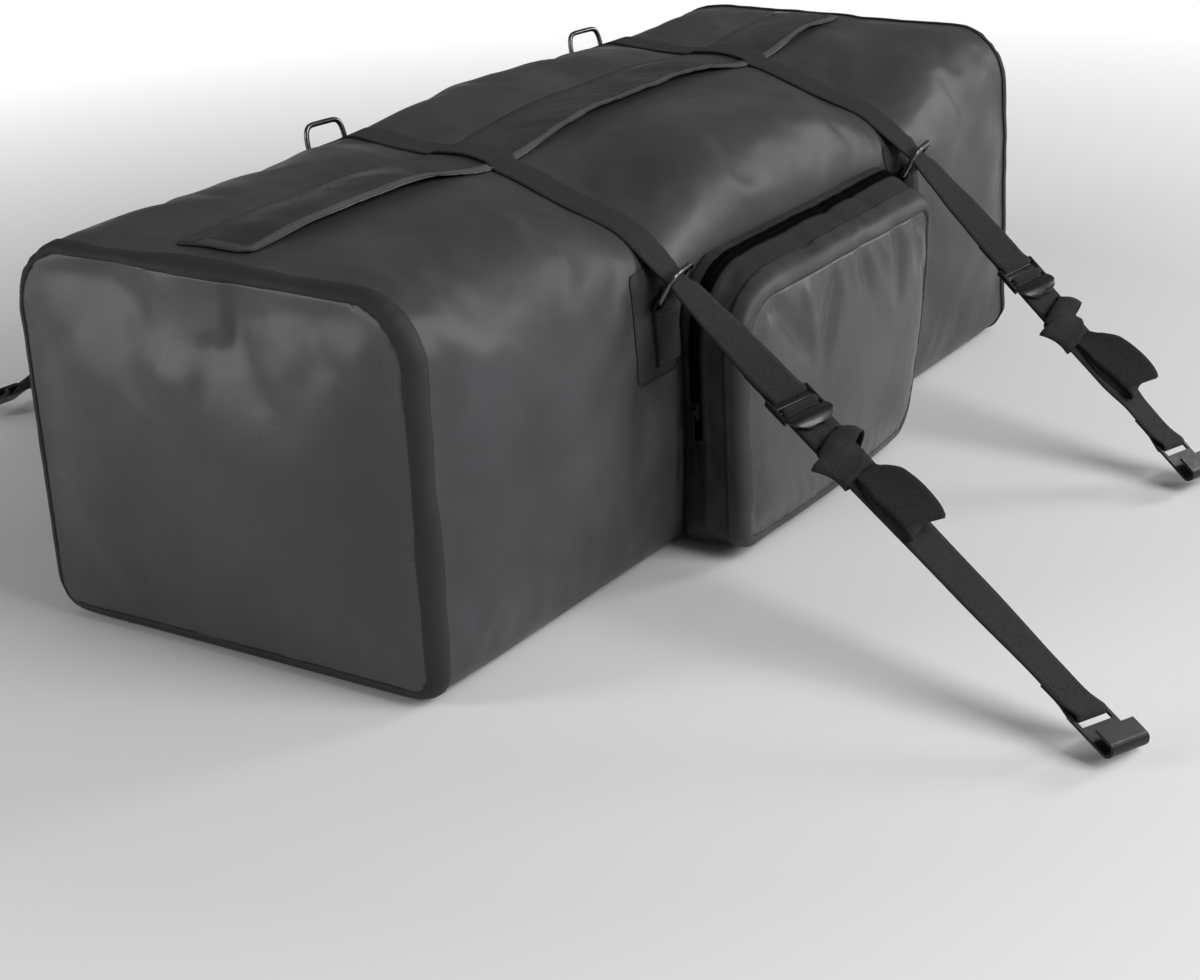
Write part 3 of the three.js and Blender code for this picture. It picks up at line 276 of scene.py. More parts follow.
class Effects:
    """The node groups that several finishes share, each built once."""

    def __init__(self) -> None:
        """Builds the groups."""
        self.grain = self._grain()
        self.weave = self._weave()
        self.rubbed = self._rubbed()

    @staticmethod
    def _grain() -> bpy.types.NodeTree:
        """Fine pebbling of a coating, and the uneven tone under it.

        Returns:
            The group.
        """
        inputs = {"Vector": None, "Pebble": 900.0, "Patch": 9.0}
        tree, graph, given, out = new_group("coating_grain", inputs, ["Height", "Tone"])
        pebble = graph.noise(given["Vector"], given["Pebble"], 3.0, 0.6)
        patch = graph.noise(given["Vector"], given["Patch"], 6.0, 0.55)
        graph.link(out, Height=pebble, Tone=graph.ramp(patch, 0.3, 0.7))
        return tree

    @staticmethod
    def _weave() -> bpy.types.NodeTree:
        """The base cloth's weave, seen faintly through a coating, laid on the side that a face looks to.

        Returns:
            The group.
        """
        inputs = {"Vector": None, "Normal": None, "Pitch": 0.0011}
        tree, graph, given, out = new_group("base_cloth_weave", inputs, ["Height"])
        place = graph.node("SeparateXYZ", {0: given["Vector"]}).outputs
        facing = graph.node("SeparateXYZ", {0: given["Normal"]}).outputs
        turn = graph.math("DIVIDE", 2 * math.pi, given["Pitch"])
        threads = []
        for axis in ("X", "Z"):
            faces_it = graph.math("GREATER_THAN", graph.math("ABSOLUTE", facing[axis]), 0.7)
            mixed = graph.node("Mix", {"Factor": faces_it, 2: place[axis], 3: place["Y"]}, data_type="FLOAT")
            threads.append(graph.math("SINE", graph.math("MULTIPLY", mixed.outputs[0], turn)))
        graph.link(out, Height=graph.math("MULTIPLY", *threads))
        return tree

    @staticmethod
    def _rubbed() -> bpy.types.NodeTree:
        """Where handling has rubbed a surface: loose, streaky spots.

        Returns:
            The group.
        """
        tree, graph, given, out = new_group("rubbed_spots", {"Vector": None, "Size": 60.0, "Amount": 0.3}, ["Mask"])
        spots = graph.noise(given["Vector"], given["Size"], 8.0, 0.7)
        edge = graph.math("SUBTRACT", 0.75, graph.math("MULTIPLY", given["Amount"], 0.3))
        graph.link(out, Mask=graph.ramp(spots, edge, 0.85))
        return tree


def new_material(name: str) -> tuple[bpy.types.Material, Graph, bpy.types.Node]:
    """Makes a material with nodes.

    Args:
        name: Its name.

    Returns:
        The material, its graph and its Principled BSDF.
    """
    material = bpy.data.materials.new(name)
    material.use_nodes = True
    return material, Graph(material.node_tree), material.node_tree.nodes["Principled BSDF"]


def set_inputs(shader: bpy.types.Node, **values: float) -> None:
    """Sets a shader's own inputs: underscores in a name stand for spaces."""
    for name, value in values.items():
        shader.inputs[name.replace("_", " ")].default_value = value


@dataclass(frozen=True)
class CoatedCloth:
    """Tarpaulin: a woven base cloth under a soft, slightly uneven coating."""

    name: str
    slot: Slot
    dark: Colour
    light: Colour
    roughness: float = 0.46
    roughness_spread: float = 0.10
    weave_depth: float = 0.00005
    grain_depth: float = 0.00006
    pitch: float = 0.0012
    specular: float = 0.3
    sheen: float = 0.0
    rubbed_size: float = 35.0
    rubbed_amount: float = 0.35
    rubbed_tone: float = 0.18

    def build(self, effects: Effects) -> bpy.types.Material:
        """Builds the material.

        Args:
            effects: The shared effects.

        Returns:
            The material.
        """
        material, graph, shader = new_material(self.name)
        place = graph.node("TexCoord").outputs
        at = place["Object"]
        grain = graph.node("Group", {"Vector": at}, node_tree=effects.grain).outputs
        threads = {"Vector": at, "Normal": place["Normal"], "Pitch": self.pitch}
        weave = graph.node("Group", threads, node_tree=effects.weave).outputs["Height"]
        spots = {"Vector": at, "Size": self.rubbed_size, "Amount": self.rubbed_amount}
        rubbed = graph.node("Group", spots, node_tree=effects.rubbed).outputs["Mask"]
        tone = graph.math("ADD", grain["Tone"], graph.math("MULTIPLY", rubbed, self.rubbed_tone))
        low, high = self.roughness - self.roughness_spread, self.roughness + self.roughness_spread
        normal = graph.bump(grain["Height"], self.grain_depth, graph.bump(weave, self.weave_depth))
        graph.link(shader, Base_Color=graph.tint(tone, self.dark, self.light),
                   Roughness=graph.ramp(grain["Tone"], 0.0, 1.0, high, low), Normal=normal)
        set_inputs(shader, Specular_IOR_Level=self.specular, Sheen_Weight=self.sheen)
        return material


@dataclass(frozen=True)
class WovenWebbing:
    """Webbing: ribs along the strap, crossed by the picks of its weft. It reads the piece's own UV map, in metres."""

    name: str
    slot: Slot
    dark: Colour
    light: Colour
    rib_pitch: float = 0.0021
    pick_pitch: float = 0.0013
    depth: float = 0.00028
    rib_share: float = 0.6
    grain_share: float = 0.5

    def build(self, effects: Effects) -> bpy.types.Material:
        """Builds the material.

        Args:
            effects: The shared effects.

        Returns:
            The material.
        """
        material, graph, shader = new_material(self.name)
        uv = graph.node("SeparateXYZ", {0: graph.node("UVMap", uv_map="cloth").outputs["UV"]}).outputs
        rib = graph.math("SINE", graph.math("MULTIPLY", uv["X"], 2 * math.pi / self.rib_pitch))
        lean = graph.math("MULTIPLY", graph.math("SIGN", rib), math.pi / 2)
        along = graph.math("MULTIPLY", uv["Y"], 2 * math.pi / self.pick_pitch)
        pick = graph.math("MULTIPLY", graph.math("SINE", graph.math("ADD", along, lean)), 1 - self.rib_share)
        woven = graph.math("MULTIPLY_ADD", graph.math("ABSOLUTE", rib), self.rib_share, pick)
        at = graph.node("TexCoord").outputs["Object"]
        fibres = {"Vector": at, "Pebble": 1500.0, "Patch": 380.0}
        grain = graph.node("Group", fibres, node_tree=effects.grain).outputs
        height = graph.math("MULTIPLY_ADD", grain["Height"], self.grain_share, woven)
        # The tone is lighter on the tops of the ribs and picks and darker in the hollows between them, which is painted
        # shade, times a random mottle from the grain.
        tone = graph.math("MULTIPLY", graph.ramp(woven, -0.3, 0.9), graph.ramp(grain["Tone"], 0.0, 1.0, 0.5, 1.0))
        graph.link(shader, Base_Color=graph.tint(tone, self.dark, self.light), Normal=graph.bump(height, self.depth))
        set_inputs(shader, Roughness=0.82, Specular_IOR_Level=0.06, Sheen_Weight=0.04, Sheen_Roughness=0.5)
        return material


@dataclass(frozen=True)
class Moulded:
    """Moulded plastic or dark metal, with fine scratches and rubbed spots."""

    name: str
    slot: Slot
    dark: Colour
    light: Colour
    roughness: float
    metallic: float = 0.0
    grain_depth: float = 0.00002
    coat: float = 0.0
    specular: float = 0.5

    def build(self, effects: Effects) -> bpy.types.Material:
        """Builds the material.

        Args:
            effects: The shared effects.

        Returns:
            The material.
        """
        material, graph, shader = new_material(self.name)
        at = graph.node("TexCoord").outputs["Object"]
        scratches = {"Vector": at, "Pebble": 2500.0, "Patch": 120.0}
        grain = graph.node("Group", scratches, node_tree=effects.grain).outputs
        spots = {"Vector": at, "Size": 220.0, "Amount": 0.6}
        rubbed = graph.node("Group", spots, node_tree=effects.rubbed).outputs["Mask"]
        rough = graph.ramp(grain["Tone"], 0.0, 1.0, self.roughness * 0.8, self.roughness * 1.25)
        graph.link(shader, Base_Color=graph.tint(rubbed, self.dark, self.light), Roughness=rough,
                   Normal=graph.bump(grain["Height"], self.grain_depth))
        set_inputs(shader, Metallic=self.metallic, Specular_IOR_Level=self.specular, Coat_Weight=self.coat)
        return material


Finish = CoatedCloth | WovenWebbing | Moulded

TARPAULIN = CoatedCloth("charcoal_tarpaulin", Slot.TARPAULIN, (0.036, 0.036, 0.038), (0.056, 0.056, 0.060), 0.40, 0.12,
                        specular=0.34)
PANEL_CLOTH = CoatedCloth("panel_tarpaulin", Slot.PANEL, (0.028, 0.028, 0.031), (0.041, 0.041, 0.045), 0.30, 0.06,
                          specular=0.60)
FACE_CLOTH = CoatedCloth("pocket_face_tarpaulin", Slot.PANEL, (0.034, 0.034, 0.036), (0.048, 0.048, 0.051), 0.25, 0.06,
                         specular=0.6)
TAPE_CLOTH = CoatedCloth("seam_tape", Slot.TAPE, (0.026, 0.026, 0.027), (0.036, 0.036, 0.038), 0.60, 0.08, 0.00003,
                         specular=0.16)
# The pocket's cloth is darker than the shell's in its own tone, and darkened further as painted shade on the pocket's
# sides.
GUSSET_CLOTH = CoatedCloth("pocket_tarpaulin", Slot.TARPAULIN, (0.019, 0.019, 0.020), (0.029, 0.029, 0.031), 0.42,
                           specular=0.3)
RIM_CLOTH = CoatedCloth("pocket_rim_tarpaulin", Slot.TAPE, (0.030, 0.030, 0.031), (0.042, 0.042, 0.044), 0.44,
                        specular=0.3)
FLAP_CLOTH = CoatedCloth("flap_cloth", Slot.FLAP, (0.018, 0.018, 0.0174), (0.033, 0.033, 0.032), 0.30, 0.12, 0.00004,
                         specular=0.3)
HEM_CLOTH = CoatedCloth("flap_hem", Slot.FLAP, (0.072, 0.072, 0.073), (0.100, 0.100, 0.102), 0.78, 0.06, 0.00018,
                        pitch=0.0020, specular=0.03)
WEBBING = WovenWebbing("woven_webbing", Slot.WEBBING, (0.012, 0.012, 0.013), (0.060, 0.060, 0.062))
THREAD = Moulded("stitching_thread", Slot.WEBBING, (0.045, 0.045, 0.047), (0.080, 0.080, 0.082), 0.7, specular=0.1)
STEEL = Moulded("gunmetal_steel", Slot.STEEL, (0.12, 0.12, 0.125), (0.28, 0.28, 0.28), 0.28, 1.0)
# Near black: the zip's own black coil and tape, made darker still as painted shade of the recess that it lies in.
ZIP_COIL = Moulded("zip_coil", Slot.ZIP, (0.0015, 0.0015, 0.002), (0.003, 0.003, 0.0035), 0.8, 0.0, 0.00008,
                   specular=0.03)
BUCKLE_PLASTIC = Moulded("buckle_plastic", Slot.PLASTIC, (0.007, 0.007, 0.008), (0.015, 0.015, 0.016), 0.30,
                         coat=0.15, specular=0.4)
CLIP_COATING = Moulded("clip_coating", Slot.CLIP, (0.005, 0.005, 0.006), (0.016, 0.016, 0.017), 0.42,
                       specular=0.3)


class Workshop:
    """Turns meshes into finished pieces, and keeps the materials."""

    def __init__(self) -> None:
        """Builds the shared effects."""
        self.effects = Effects()
        self.materials: dict[str, bpy.types.Material] = {}

    def material(self, finish: Finish) -> bpy.types.Material:
        """The finish's material, built the first time it is asked for.

        Args:
            finish: The finish.

        Returns:
            Its material.
        """
        if finish.name not in self.materials:
            self.materials[finish.name] = finish.build(self.effects)
        return self.materials[finish.name]

    def piece(self, name: str, shape: bmesh.types.BMesh, finish: Finish, replaces: str = "",
              wall: float = 0.0, offset: float = 1.0, body: str = BAG_BODY) -> bpy.types.Object:
        """Makes a finished piece.

        Args:
            name: The piece's name.
            shape: Its mesh, in the row frame. It is freed.
            finish: Its finish.
            replaces: The CAD node that it stands for, if any.
            wall: The wall of a sheet, or 0 for a closed shape.
            offset: 1 where the wall grows outwards, 0 where it grows both ways.
            body: The CAD body that it rides on.

        Returns:
            The new object.
        """
        mesh = bpy.data.meshes.new(name)
        shape.to_mesh(mesh)
        shape.free()
        mesh.polygons.foreach_set("use_smooth", [True] * len(mesh.polygons))
        made = bpy.data.objects.new(name, mesh)
        bpy.context.scene.collection.objects.link(made)
        mesh.materials.append(self.material(finish))
        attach(made, body)
        if replaces:
            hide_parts(replaces)
        if wall:
            thickness = made.modifiers.new("wall", "SOLIDIFY")
            thickness.thickness = wall
            thickness.offset = offset
        log.info("%s: %d faces, rides on %s", name, len(mesh.polygons), body)
        return made

    def strap(self, name: str, shape: bmesh.types.BMesh, replaces: str = "") -> None:
        """Makes a stretch of webbing from its middle sheet."""
        self.piece(name, shape, WEBBING, replaces, WEB.thickness, 0.0)

    def keep(self, node: str, finish: Finish, edge: float = 0.0) -> None:
        """Gives a CAD node its finish.

        Args:
            node: The node's name.
            finish: Its finish.
            edge: How far its edges are softened, or 0 where they stay.
        """
        kept = frame["nodes"][node]
        kept.data.materials.clear()
        kept.data.materials.append(self.material(finish))
        if edge:
            kept.modifiers.new("joined", "WELD").merge_threshold = MERGE
            bevel = kept.modifiers.new("soft_edges", "BEVEL")
            bevel.width = edge
            bevel.segments = 3
            bevel.limit_method = "ANGLE"
            bevel.angle_limit = math.radians(35)
        log.info("%s: kept from the solids", node)


# Cloth


@dataclass(frozen=True)
class Fold:
    """A soft fold or dent along a line, on one side of the bag."""

    start: Vector
    end: Vector
    width: float
    depth: float

    def height(self, point: Vector) -> float:
        """How far the fold lifts the cloth at a point.

        Args:
            point: The point on the cloth.

        Returns:
            The height, negative in a dent.
        """
        along = self.end - self.start
        share = max(0.0, min(1.0, (point - self.start).dot(along) / along.length_squared))
        away = (point - (self.start + along * share)).length / self.width
        taper = 0.35 + 0.65 * math.sin(math.pi * (0.15 + 0.7 * share))
        return self.depth * taper * math.exp(-away * away) if away < 3 else 0.0


def folds(*rows: tuple[float, ...]) -> tuple[Fold, ...]:
    """Folds from rows of where each starts and ends, its width and its depth."""
    return tuple(Fold(Vector(row[0:3]), Vector(row[3:6]), row[6], row[7]) for row in rows)


@dataclass(frozen=True)
class ClothPlan:
    """How a stuffed shell is settled by the cloth simulation."""

    voxel: float
    travel: float
    pressure: float = 3.0
    slack: float = 0.012
    frames: int = 20
    quality: int = 5
    mass: float = 0.3
    stretch: float = 18
    shear: float = 6
    bend: float = 0.8


@dataclass
class StuffedShell:
    """A stuffed cloth shell, settled from a CAD solid.

    It starts from its node's mesh. held says how firmly each point is held, relief how far it is lifted once
    the cloth has settled, and crisp how firmly it keeps to the solid. All but relief run from 0 to 1.
    """

    name: str
    node: str
    plan: ClothPlan
    held: Cover
    relief: Cover
    crisp: Cover = lambda point: 0.0

    def _remeshed(self) -> bpy.types.Object:
        """An even quad mesh of the CAD node.

        Returns:
            A loose object with it.
        """
        shape = bmesh.new()
        shape.from_mesh(frame["nodes"][self.node].data)
        bmesh.ops.remove_doubles(shape, verts=shape.verts, dist=MERGE)
        mesh = bpy.data.meshes.new("settling")
        shape.to_mesh(mesh)
        shape.free()
        loose = bpy.data.objects.new("settling", mesh)
        bpy.context.scene.collection.objects.link(loose)
        remesh = loose.modifiers.new("even", "REMESH")
        remesh.mode = "VOXEL"
        remesh.voxel_size = self.plan.voxel
        bpy.context.view_layer.update()
        even = bpy.data.meshes.new_from_object(loose.evaluated_get(bpy.context.evaluated_depsgraph_get()))
        loose.modifiers.clear()
        loose.data = even
        return loose

    def _settled(self, loose: bpy.types.Object) -> list[Vector]:
        """Settles the cloth.

        Args:
            loose: The even mesh.

        Returns:
            How far each vertex moves, at most about the plan's travel.
        """
        plan = self.plan
        rest = [v.co.copy() for v in loose.data.vertices]
        group = loose.vertex_groups.new(name="held")
        for index, point in enumerate(rest):
            group.add([index], self.held(point), "REPLACE")
        cloth = loose.modifiers.new("settle", "CLOTH")
        settings = cloth.settings
        settings.quality = plan.quality
        settings.mass = plan.mass
        settings.tension_stiffness = settings.compression_stiffness = plan.stretch
        settings.shear_stiffness = plan.shear
        settings.bending_stiffness = plan.bend
        settings.use_pressure = True
        settings.uniform_pressure_force = plan.pressure
        settings.shrink_min = -plan.slack
        settings.vertex_group_mass = "held"
        settings.effector_weights.gravity = 0.0
        cloth.collision_settings.use_collision = False
        cloth.point_cache.frame_start = 1
        cloth.point_cache.frame_end = plan.frames
        for number in range(1, plan.frames + 1):
            bpy.context.scene.frame_set(number)
        settled = loose.evaluated_get(bpy.context.evaluated_depsgraph_get()).data
        moves = [settled.vertices[k].co - point for k, point in enumerate(rest)]
        bpy.context.scene.frame_set(1)
        return [move * (plan.travel * math.tanh(move.length / plan.travel) / max(move.length, 1e-9)) for move in moves]

    def _sharpen(self, shape: bmesh.types.BMesh) -> None:
        """Puts the seams back on the solid, so that they stay crisp.

        Args:
            shape: The settled shell's mesh.
        """
        solid = bmesh.new()
        solid.from_mesh(frame["nodes"][self.node].data)
        tree = BVHTree.FromBMesh(solid)
        solid.free()
        for vert in shape.verts:
            firm = self.crisp(vert.co)
            if firm > 0:
                vert.co = vert.co.lerp(tree.find_nearest(vert.co)[0], firm)

    def build(self, shop: Workshop, finish: CoatedCloth) -> bpy.types.Object:
        """Settles the shell and makes it a piece.

        Args:
            shop: The workshop.
            finish: The shell's finish.

        Returns:
            The new object.
        """
        loose = self._remeshed()
        moves = self._settled(loose)
        shape = bmesh.new()
        shape.from_mesh(loose.data)
        bpy.data.objects.remove(loose)
        shape.verts.ensure_lookup_table()
        for vert, move in zip(shape.verts, moves):
            vert.co += move
        bmesh.ops.smooth_vert(shape, verts=shape.verts, factor=0.5, use_axis_x=True, use_axis_y=True, use_axis_z=True)
        self._sharpen(shape)
        shape.normal_update()
        lifts = [(vert, vert.normal * self.relief(vert.co)) for vert in shape.verts]
        for vert, lift in lifts:
            vert.co += lift
            vert.co.z = max(vert.co.z, 0.0)
        made = shop.piece(self.name, shape, finish, self.node)
        surface = made.modifiers.new("surface", "SUBSURF")
        surface.levels = surface.render_levels = 1
        return made


class Surface:
    """The outside of a settled shell, to cut and lay other pieces on."""

    def __init__(self, made: bpy.types.Object) -> None:
        """Reads the finished surface of a piece.

        Args:
            made: The piece.
        """
        bpy.context.view_layer.update()
        evaluated = made.evaluated_get(bpy.context.evaluated_depsgraph_get())
        self.shape = bmesh.new()
        self.shape.from_mesh(evaluated.to_mesh())
        evaluated.to_mesh_clear()
        self.shape.normal_update()
        self.shape.faces.ensure_lookup_table()
        self.shape.verts.ensure_lookup_table()
        self.tree = BVHTree.FromBMesh(self.shape)

    def nearest(self, point: Vector) -> Spot:
        """The nearest point of the surface, and its smooth normal."""
        found, _, index, _ = self.tree.find_nearest(point)
        return found, self._normal(found, index)

    def cast(self, origin: Vector, direction: Vector) -> Spot:
        """Where a ray meets the surface, and the smooth normal there."""
        found, _, index, _ = self.tree.ray_cast(origin, direction)
        return found, self._normal(found, index)

    def _normal(self, point: Vector, index: int) -> Vector:
        """The smooth normal at a point of a face.

        Args:
            point: The point.
            index: The face's number.

        Returns:
            The normals of the face's corners, weighed by how near they are.
        """
        total = Vector()
        for vert in self.shape.faces[index].verts:
            total += vert.normal / ((vert.co - point).length + 1e-4)
        return total.normalized()

    def over_top(self, x: float, y: float) -> Spot:
        """The point of the surface under a place above it."""
        return self.cast(Vector((x, y, 1.0)), -UP)

    def on_side(self, x: float, z: float, side: Side) -> Spot:
        """The point of a long side at a station and a height."""
        return self.cast(Vector((x, side.value, z)), Vector((0.0, -side.value, 0.0)))

    def cut(self, covers: Cover, lift: Cover | float) -> bmesh.types.BMesh:
        """Cuts a piece out of the surface.

        Args:
            covers: Negative where the piece is, and near its edge about the distance to it.
            lift: How far the piece stands off the surface, or a rule for it.

        Returns:
            A sheet, whose rim follows the line where covers is 0.
        """
        shape = self.shape.copy()
        outside = [face for face in shape.faces if covers(face.calc_center_median()) > 0]
        bmesh.ops.delete(shape, geom=outside, context="FACES")
        narrow = [v for v in shape.verts if v.is_boundary and len(v.link_faces) == 1]
        bmesh.ops.delete(shape, geom=narrow, context="VERTS")
        for vert in [v for v in shape.verts if v.is_boundary]:
            vert.co = self._to_edge(vert.co.copy(), covers)
        inner = [v for v in shape.verts if not v.is_boundary]
        bmesh.ops.smooth_vert(shape, verts=inner, factor=0.4, use_axis_x=True, use_axis_y=True, use_axis_z=True)
        for vert in shape.verts:
            found, normal = self.nearest(vert.co)
            vert.co = found + normal * (lift(found) if callable(lift) else lift)
        bmesh.ops.recalc_face_normals(shape, faces=shape.faces)
        middle = next(iter(shape.faces))
        if middle.normal.dot(self.nearest(middle.calc_center_median())[1]) < 0:
            bmesh.ops.reverse_faces(shape, faces=shape.faces)
        return shape

    def _to_edge(self, point: Vector, covers: Cover, step: float = 0.0005) -> Vector:
        """Moves a point over the surface to a piece's edge.

        Args:
            point: The point.
            covers: The piece's rule, 0 at its edge.
            step: The distance over which the rule's slope is measured.

        Returns:
            The point on the edge.
        """
        axes = (Vector((1, 0, 0)), Vector((0, 1, 0)), UP)
        for _ in range(4):
            value = covers(point)
            slope = Vector([covers(point + axis * step) - value for axis in axes]) / step
            _, normal = self.nearest(point)
            slope -= normal * slope.dot(normal)
            if slope.length_squared < 0.01:
                break
            point, _ = self.nearest(point - slope * (value / slope.length_squared))
        return point


# Webbing


@dataclass
class Stop:
    """One place on the way of a strap: its middle, and the direction across it."""

    place: Vector
    side: Vector


def curve_through(stops: Sequence[Stop], step: float) -> list[Stop]:
    """A smooth way through the stops, with places about step apart.

    Args:
        stops: The places to pass through.
        step: The distance between the new places.

    Returns:
        The new places, the first and last ones as given.
    """
    points = [stops[0], *stops, stops[-1]]
    fine: list[Stop] = []
    for before, start, end, after in zip(points, points[1:], points[2:], points[3:]):
        count = max(1, math.ceil((end.place - start.place).length / step))
        knots = [0.0]
        for a, b in ((before, start), (start, end), (end, after)):
            knots.append(knots[-1] + max((b.place - a.place).length, 1e-5) ** 0.5)
        for k in range(count):
            t = knots[1] + (knots[2] - knots[1]) * k / count
            fine.append(Stop(_on_curve([p.place for p in (before, start, end, after)], knots, t),
                             start.side.lerp(end.side, smooth(k / count)).normalized()))
    fine.append(stops[-1])
    return fine


def _on_curve(places: Sequence[Vector], knots: Sequence[float], t: float) -> Vector:
    """A point of the centripetal curve through the middle two of four places.

    Args:
        places: The four places.
        knots: Their stations along the curve.
        t: The point's station.

    Returns:
        The point.
    """
    def between(a: Vector, b: Vector, low: float, high: float) -> Vector:
        """The point between two others at the station."""
        return a.lerp(b, (t - low) / (high - low))

    first = [between(places[k], places[k + 1], knots[k], knots[k + 1]) for k in range(3)]
    second = [between(first[k], first[k + 1], knots[k], knots[k + 2]) for k in range(2)]
    return between(second[0], second[1], knots[1], knots[2])


def laid_grid(across: int, along: int, place: Callable[[float, float], Vector],
              size: tuple[float, float]) -> bmesh.types.BMesh:
    """A grid laid where a rule says, with a UV map in metres.

    Args:
        across: Number of faces across.
        along: Number of faces along.
        place: Where a share across and a share along lie.
        size: The sheet's real width and length, for its UV map.

    Returns:
        The sheet.
    """
    shape = bmesh.new()
    layer = shape.loops.layers.uv.new("cloth")
    bmesh.ops.create_grid(shape, x_segments=across, y_segments=along, size=0.5)
    for face in shape.faces:
        for loop in face.loops:
            loop[layer].uv = ((loop.vert.co.x + 0.5) * size[0], (loop.vert.co.y + 0.5) * size[1])
    for vert in shape.verts:
        vert.co = place(vert.co.x + 0.5, vert.co.y + 0.5)
    return shape


def ribbon(stops: Sequence[Stop], step: float = 0.004, width: float | Callable[[float], float] = WEB.width,
           cup: float = 0.0) -> bmesh.types.BMesh:
    """A flat strap along a way.

    Args:
        stops: The way.
        step: The length of a face along it.
        width: The strap's width, or a rule for it by the share of the way.
        cup: How far the strap's middle stands above its edges.

    Returns:
        The strap's middle sheet. Its wall comes from a modifier.
    """
    wide = width if callable(width) else lambda share: width
    way = curve_through(stops, step)
    length = sum((b.place - a.place).length for a, b in zip(way, way[1:]))
    rows: list[tuple[Vector, Vector, Vector]] = []
    for k, stop in enumerate(way):
        tangent = (way[min(k + 1, len(way) - 1)].place - way[max(k - 1, 0)].place).normalized()
        side = (stop.side - tangent * stop.side.dot(tangent)).normalized()
        rows.append((stop.place, side, side.cross(tangent).normalized()))

    def place(u: float, v: float) -> Vector:
        """Where a share across the strap and a share along it lie."""
        middle, side, normal = rows[round(v * (len(rows) - 1))]
        return middle + side * ((2 * u - 1) * wide(v) / 2) + normal * (cup * (1 - (2 * u - 1) ** 2))

    return laid_grid(8, len(rows) - 1, place, (WEB.width, length))


@dataclass(frozen=True)
class RingSeat:
    """How a D-ring leans, and where the strap passes in it."""

    tilt: float
    seat: float


TWIST = {Side.FRONT: math.radians(18.0), Side.BACK: 0.0}
RING_SEATS = {Side.FRONT: RingSeat(60.0, 0.018), Side.BACK: RingSeat(78.0, 0.0075)}


@dataclass(frozen=True)
class BuckleSizes:
    """The ladder-lock buckle, along its strap from the grip bar."""

    distance: float = 0.178
    bar_radius: float = 0.0021
    top_bar: float = 0.016
    grip_rise: float = 0.0015
    rail_width: float = 0.0034
    rail_height: float = 0.006
    tongue_start: float = 0.011
    tongue_end: float = 0.027
    tongue_wall: float = 0.0024

    @property
    def grip(self) -> float:
        """From the grip bar's middle to the middle of the webbing round it."""
        return self.bar_radius + WEB.gap + WEB.thickness / 2

    @property
    def under(self) -> float:
        """Height of the incoming webbing's middle."""
        return self.grip_rise - self.grip

    @property
    def tail(self) -> float:
        """Height of the outgoing webbing's middle."""
        return self.under + WEB.thickness + WEB.gap


BUCKLE = BuckleSizes()


class StrapLine:
    """The straight run of a strap from its D-ring to its door clip, worked out from the joints."""

    def __init__(self, name: str) -> None:
        """Reads the ring's and the clip's joints.

        Args:
            name: The run's name, such as near_front.
        """
        joints = {joint["name"]: joint for joint in frame["joints"]}
        ring, clip = joints[f"{name}_ring_hinge"], joints[f"{name}_clip_hinge"]
        self.name = name
        self.which = Side.FRONT if name.endswith("front") else Side.BACK
        self.end = name.split("_")[0]
        self.station = BAG.near_strap if name.startswith("near") else BAG.far_strap
        self.bar_centre = Vector(ring["pos_m"])
        self.bar = Vector(ring["axis"]).normalized()
        seat = RING_SEATS[self.which]
        tilt = math.radians(seat.tilt)
        outward = Vector((-self.bar.y, self.bar.x, 0.0)) * self.which.value
        self.reach = (outward * math.cos(tilt) + UP * math.sin(tilt)).normalized()
        self.face = self.bar.cross(self.reach).normalized()
        self.seat = self.bar_centre + self.reach * seat.seat
        self.clip = Vector(clip["pos_m"])
        self.side = Vector(clip["axis"]).normalized()
        run = self.clip - self.seat
        off = BUCKLE.under - (WEB.thickness + WEB.gap) / 2
        along = run.normalized()
        over = along.cross(self.side).normalized()
        turn = math.asin(off / run.length)
        self.down = along * math.cos(turn) - over * math.sin(turn)
        self.normal = along * math.sin(turn) + over * math.cos(turn)
        self.up = -self.down
        self.buckle = self.seat + self.down * BUCKLE.distance
        self.clip_along = -(self.clip - self.normal * off - self.buckle).length
        self.clip_off = off

    def frame_at(self, along: float) -> tuple[Vector, Vector]:
        """The strap's directions at a place: it is twisted between the ring and the clip.

        Args:
            along: The place, up the strap from the buckle.

        Returns:
            The directions across the strap and off its face.
        """
        upper = 1 - ease(along, 0.060, BUCKLE.distance - 0.010)
        lower = 1 - ease(-along, 0.115, -self.clip_along - 0.045)
        turn = TWIST[self.which] * upper * lower
        side = self.side * math.cos(turn) + self.normal * math.sin(turn)
        return side, self.normal * math.cos(turn) - self.side * math.sin(turn)

    def point(self, along: float, off: float, across: float = 0.0) -> Vector:
        """A point given up the strap from the buckle, off its face and across it."""
        side, normal = self.frame_at(along)
        return self.buckle + self.up * along + normal * off + side * across

    def basis(self) -> Matrix:
        """The buckle's own axes: x across, y up the strap, z off its face.

        Returns:
            The matrix from those axes to the row frame.
        """
        side, normal = self.frame_at(0.0)
        turn = Matrix((side, self.up, normal)).transposed().to_4x4()
        return Matrix.Translation(self.buckle) @ turn

    def stops(self, places: Sequence[tuple[float, float]]) -> list[Stop]:
        """Stops on the run's middle plane, from (along, off) pairs."""
        return [Stop(self.point(along, off), self.frame_at(along)[0]) for along, off in places]

    def sewn_at(self, height: float) -> Callable[[float, float], Spot]:
        """The rule that places stitches on the run's face, at a height off its middle plane."""
        return lambda across, along: (self.point(along, height, across), self.frame_at(along)[1])


def arc(along: float, off: float, radius: float, start: float, end: float, count: int = 8) -> list[tuple[float, float]]:
    """Places on an arc, from start to end in degrees, in a run's middle plane."""
    turns = [math.radians(start + (end - start) * k / count) for k in range(count + 1)]
    return [(along + radius * math.cos(turn), off + radius * math.sin(turn)) for turn in turns]


# Small solids


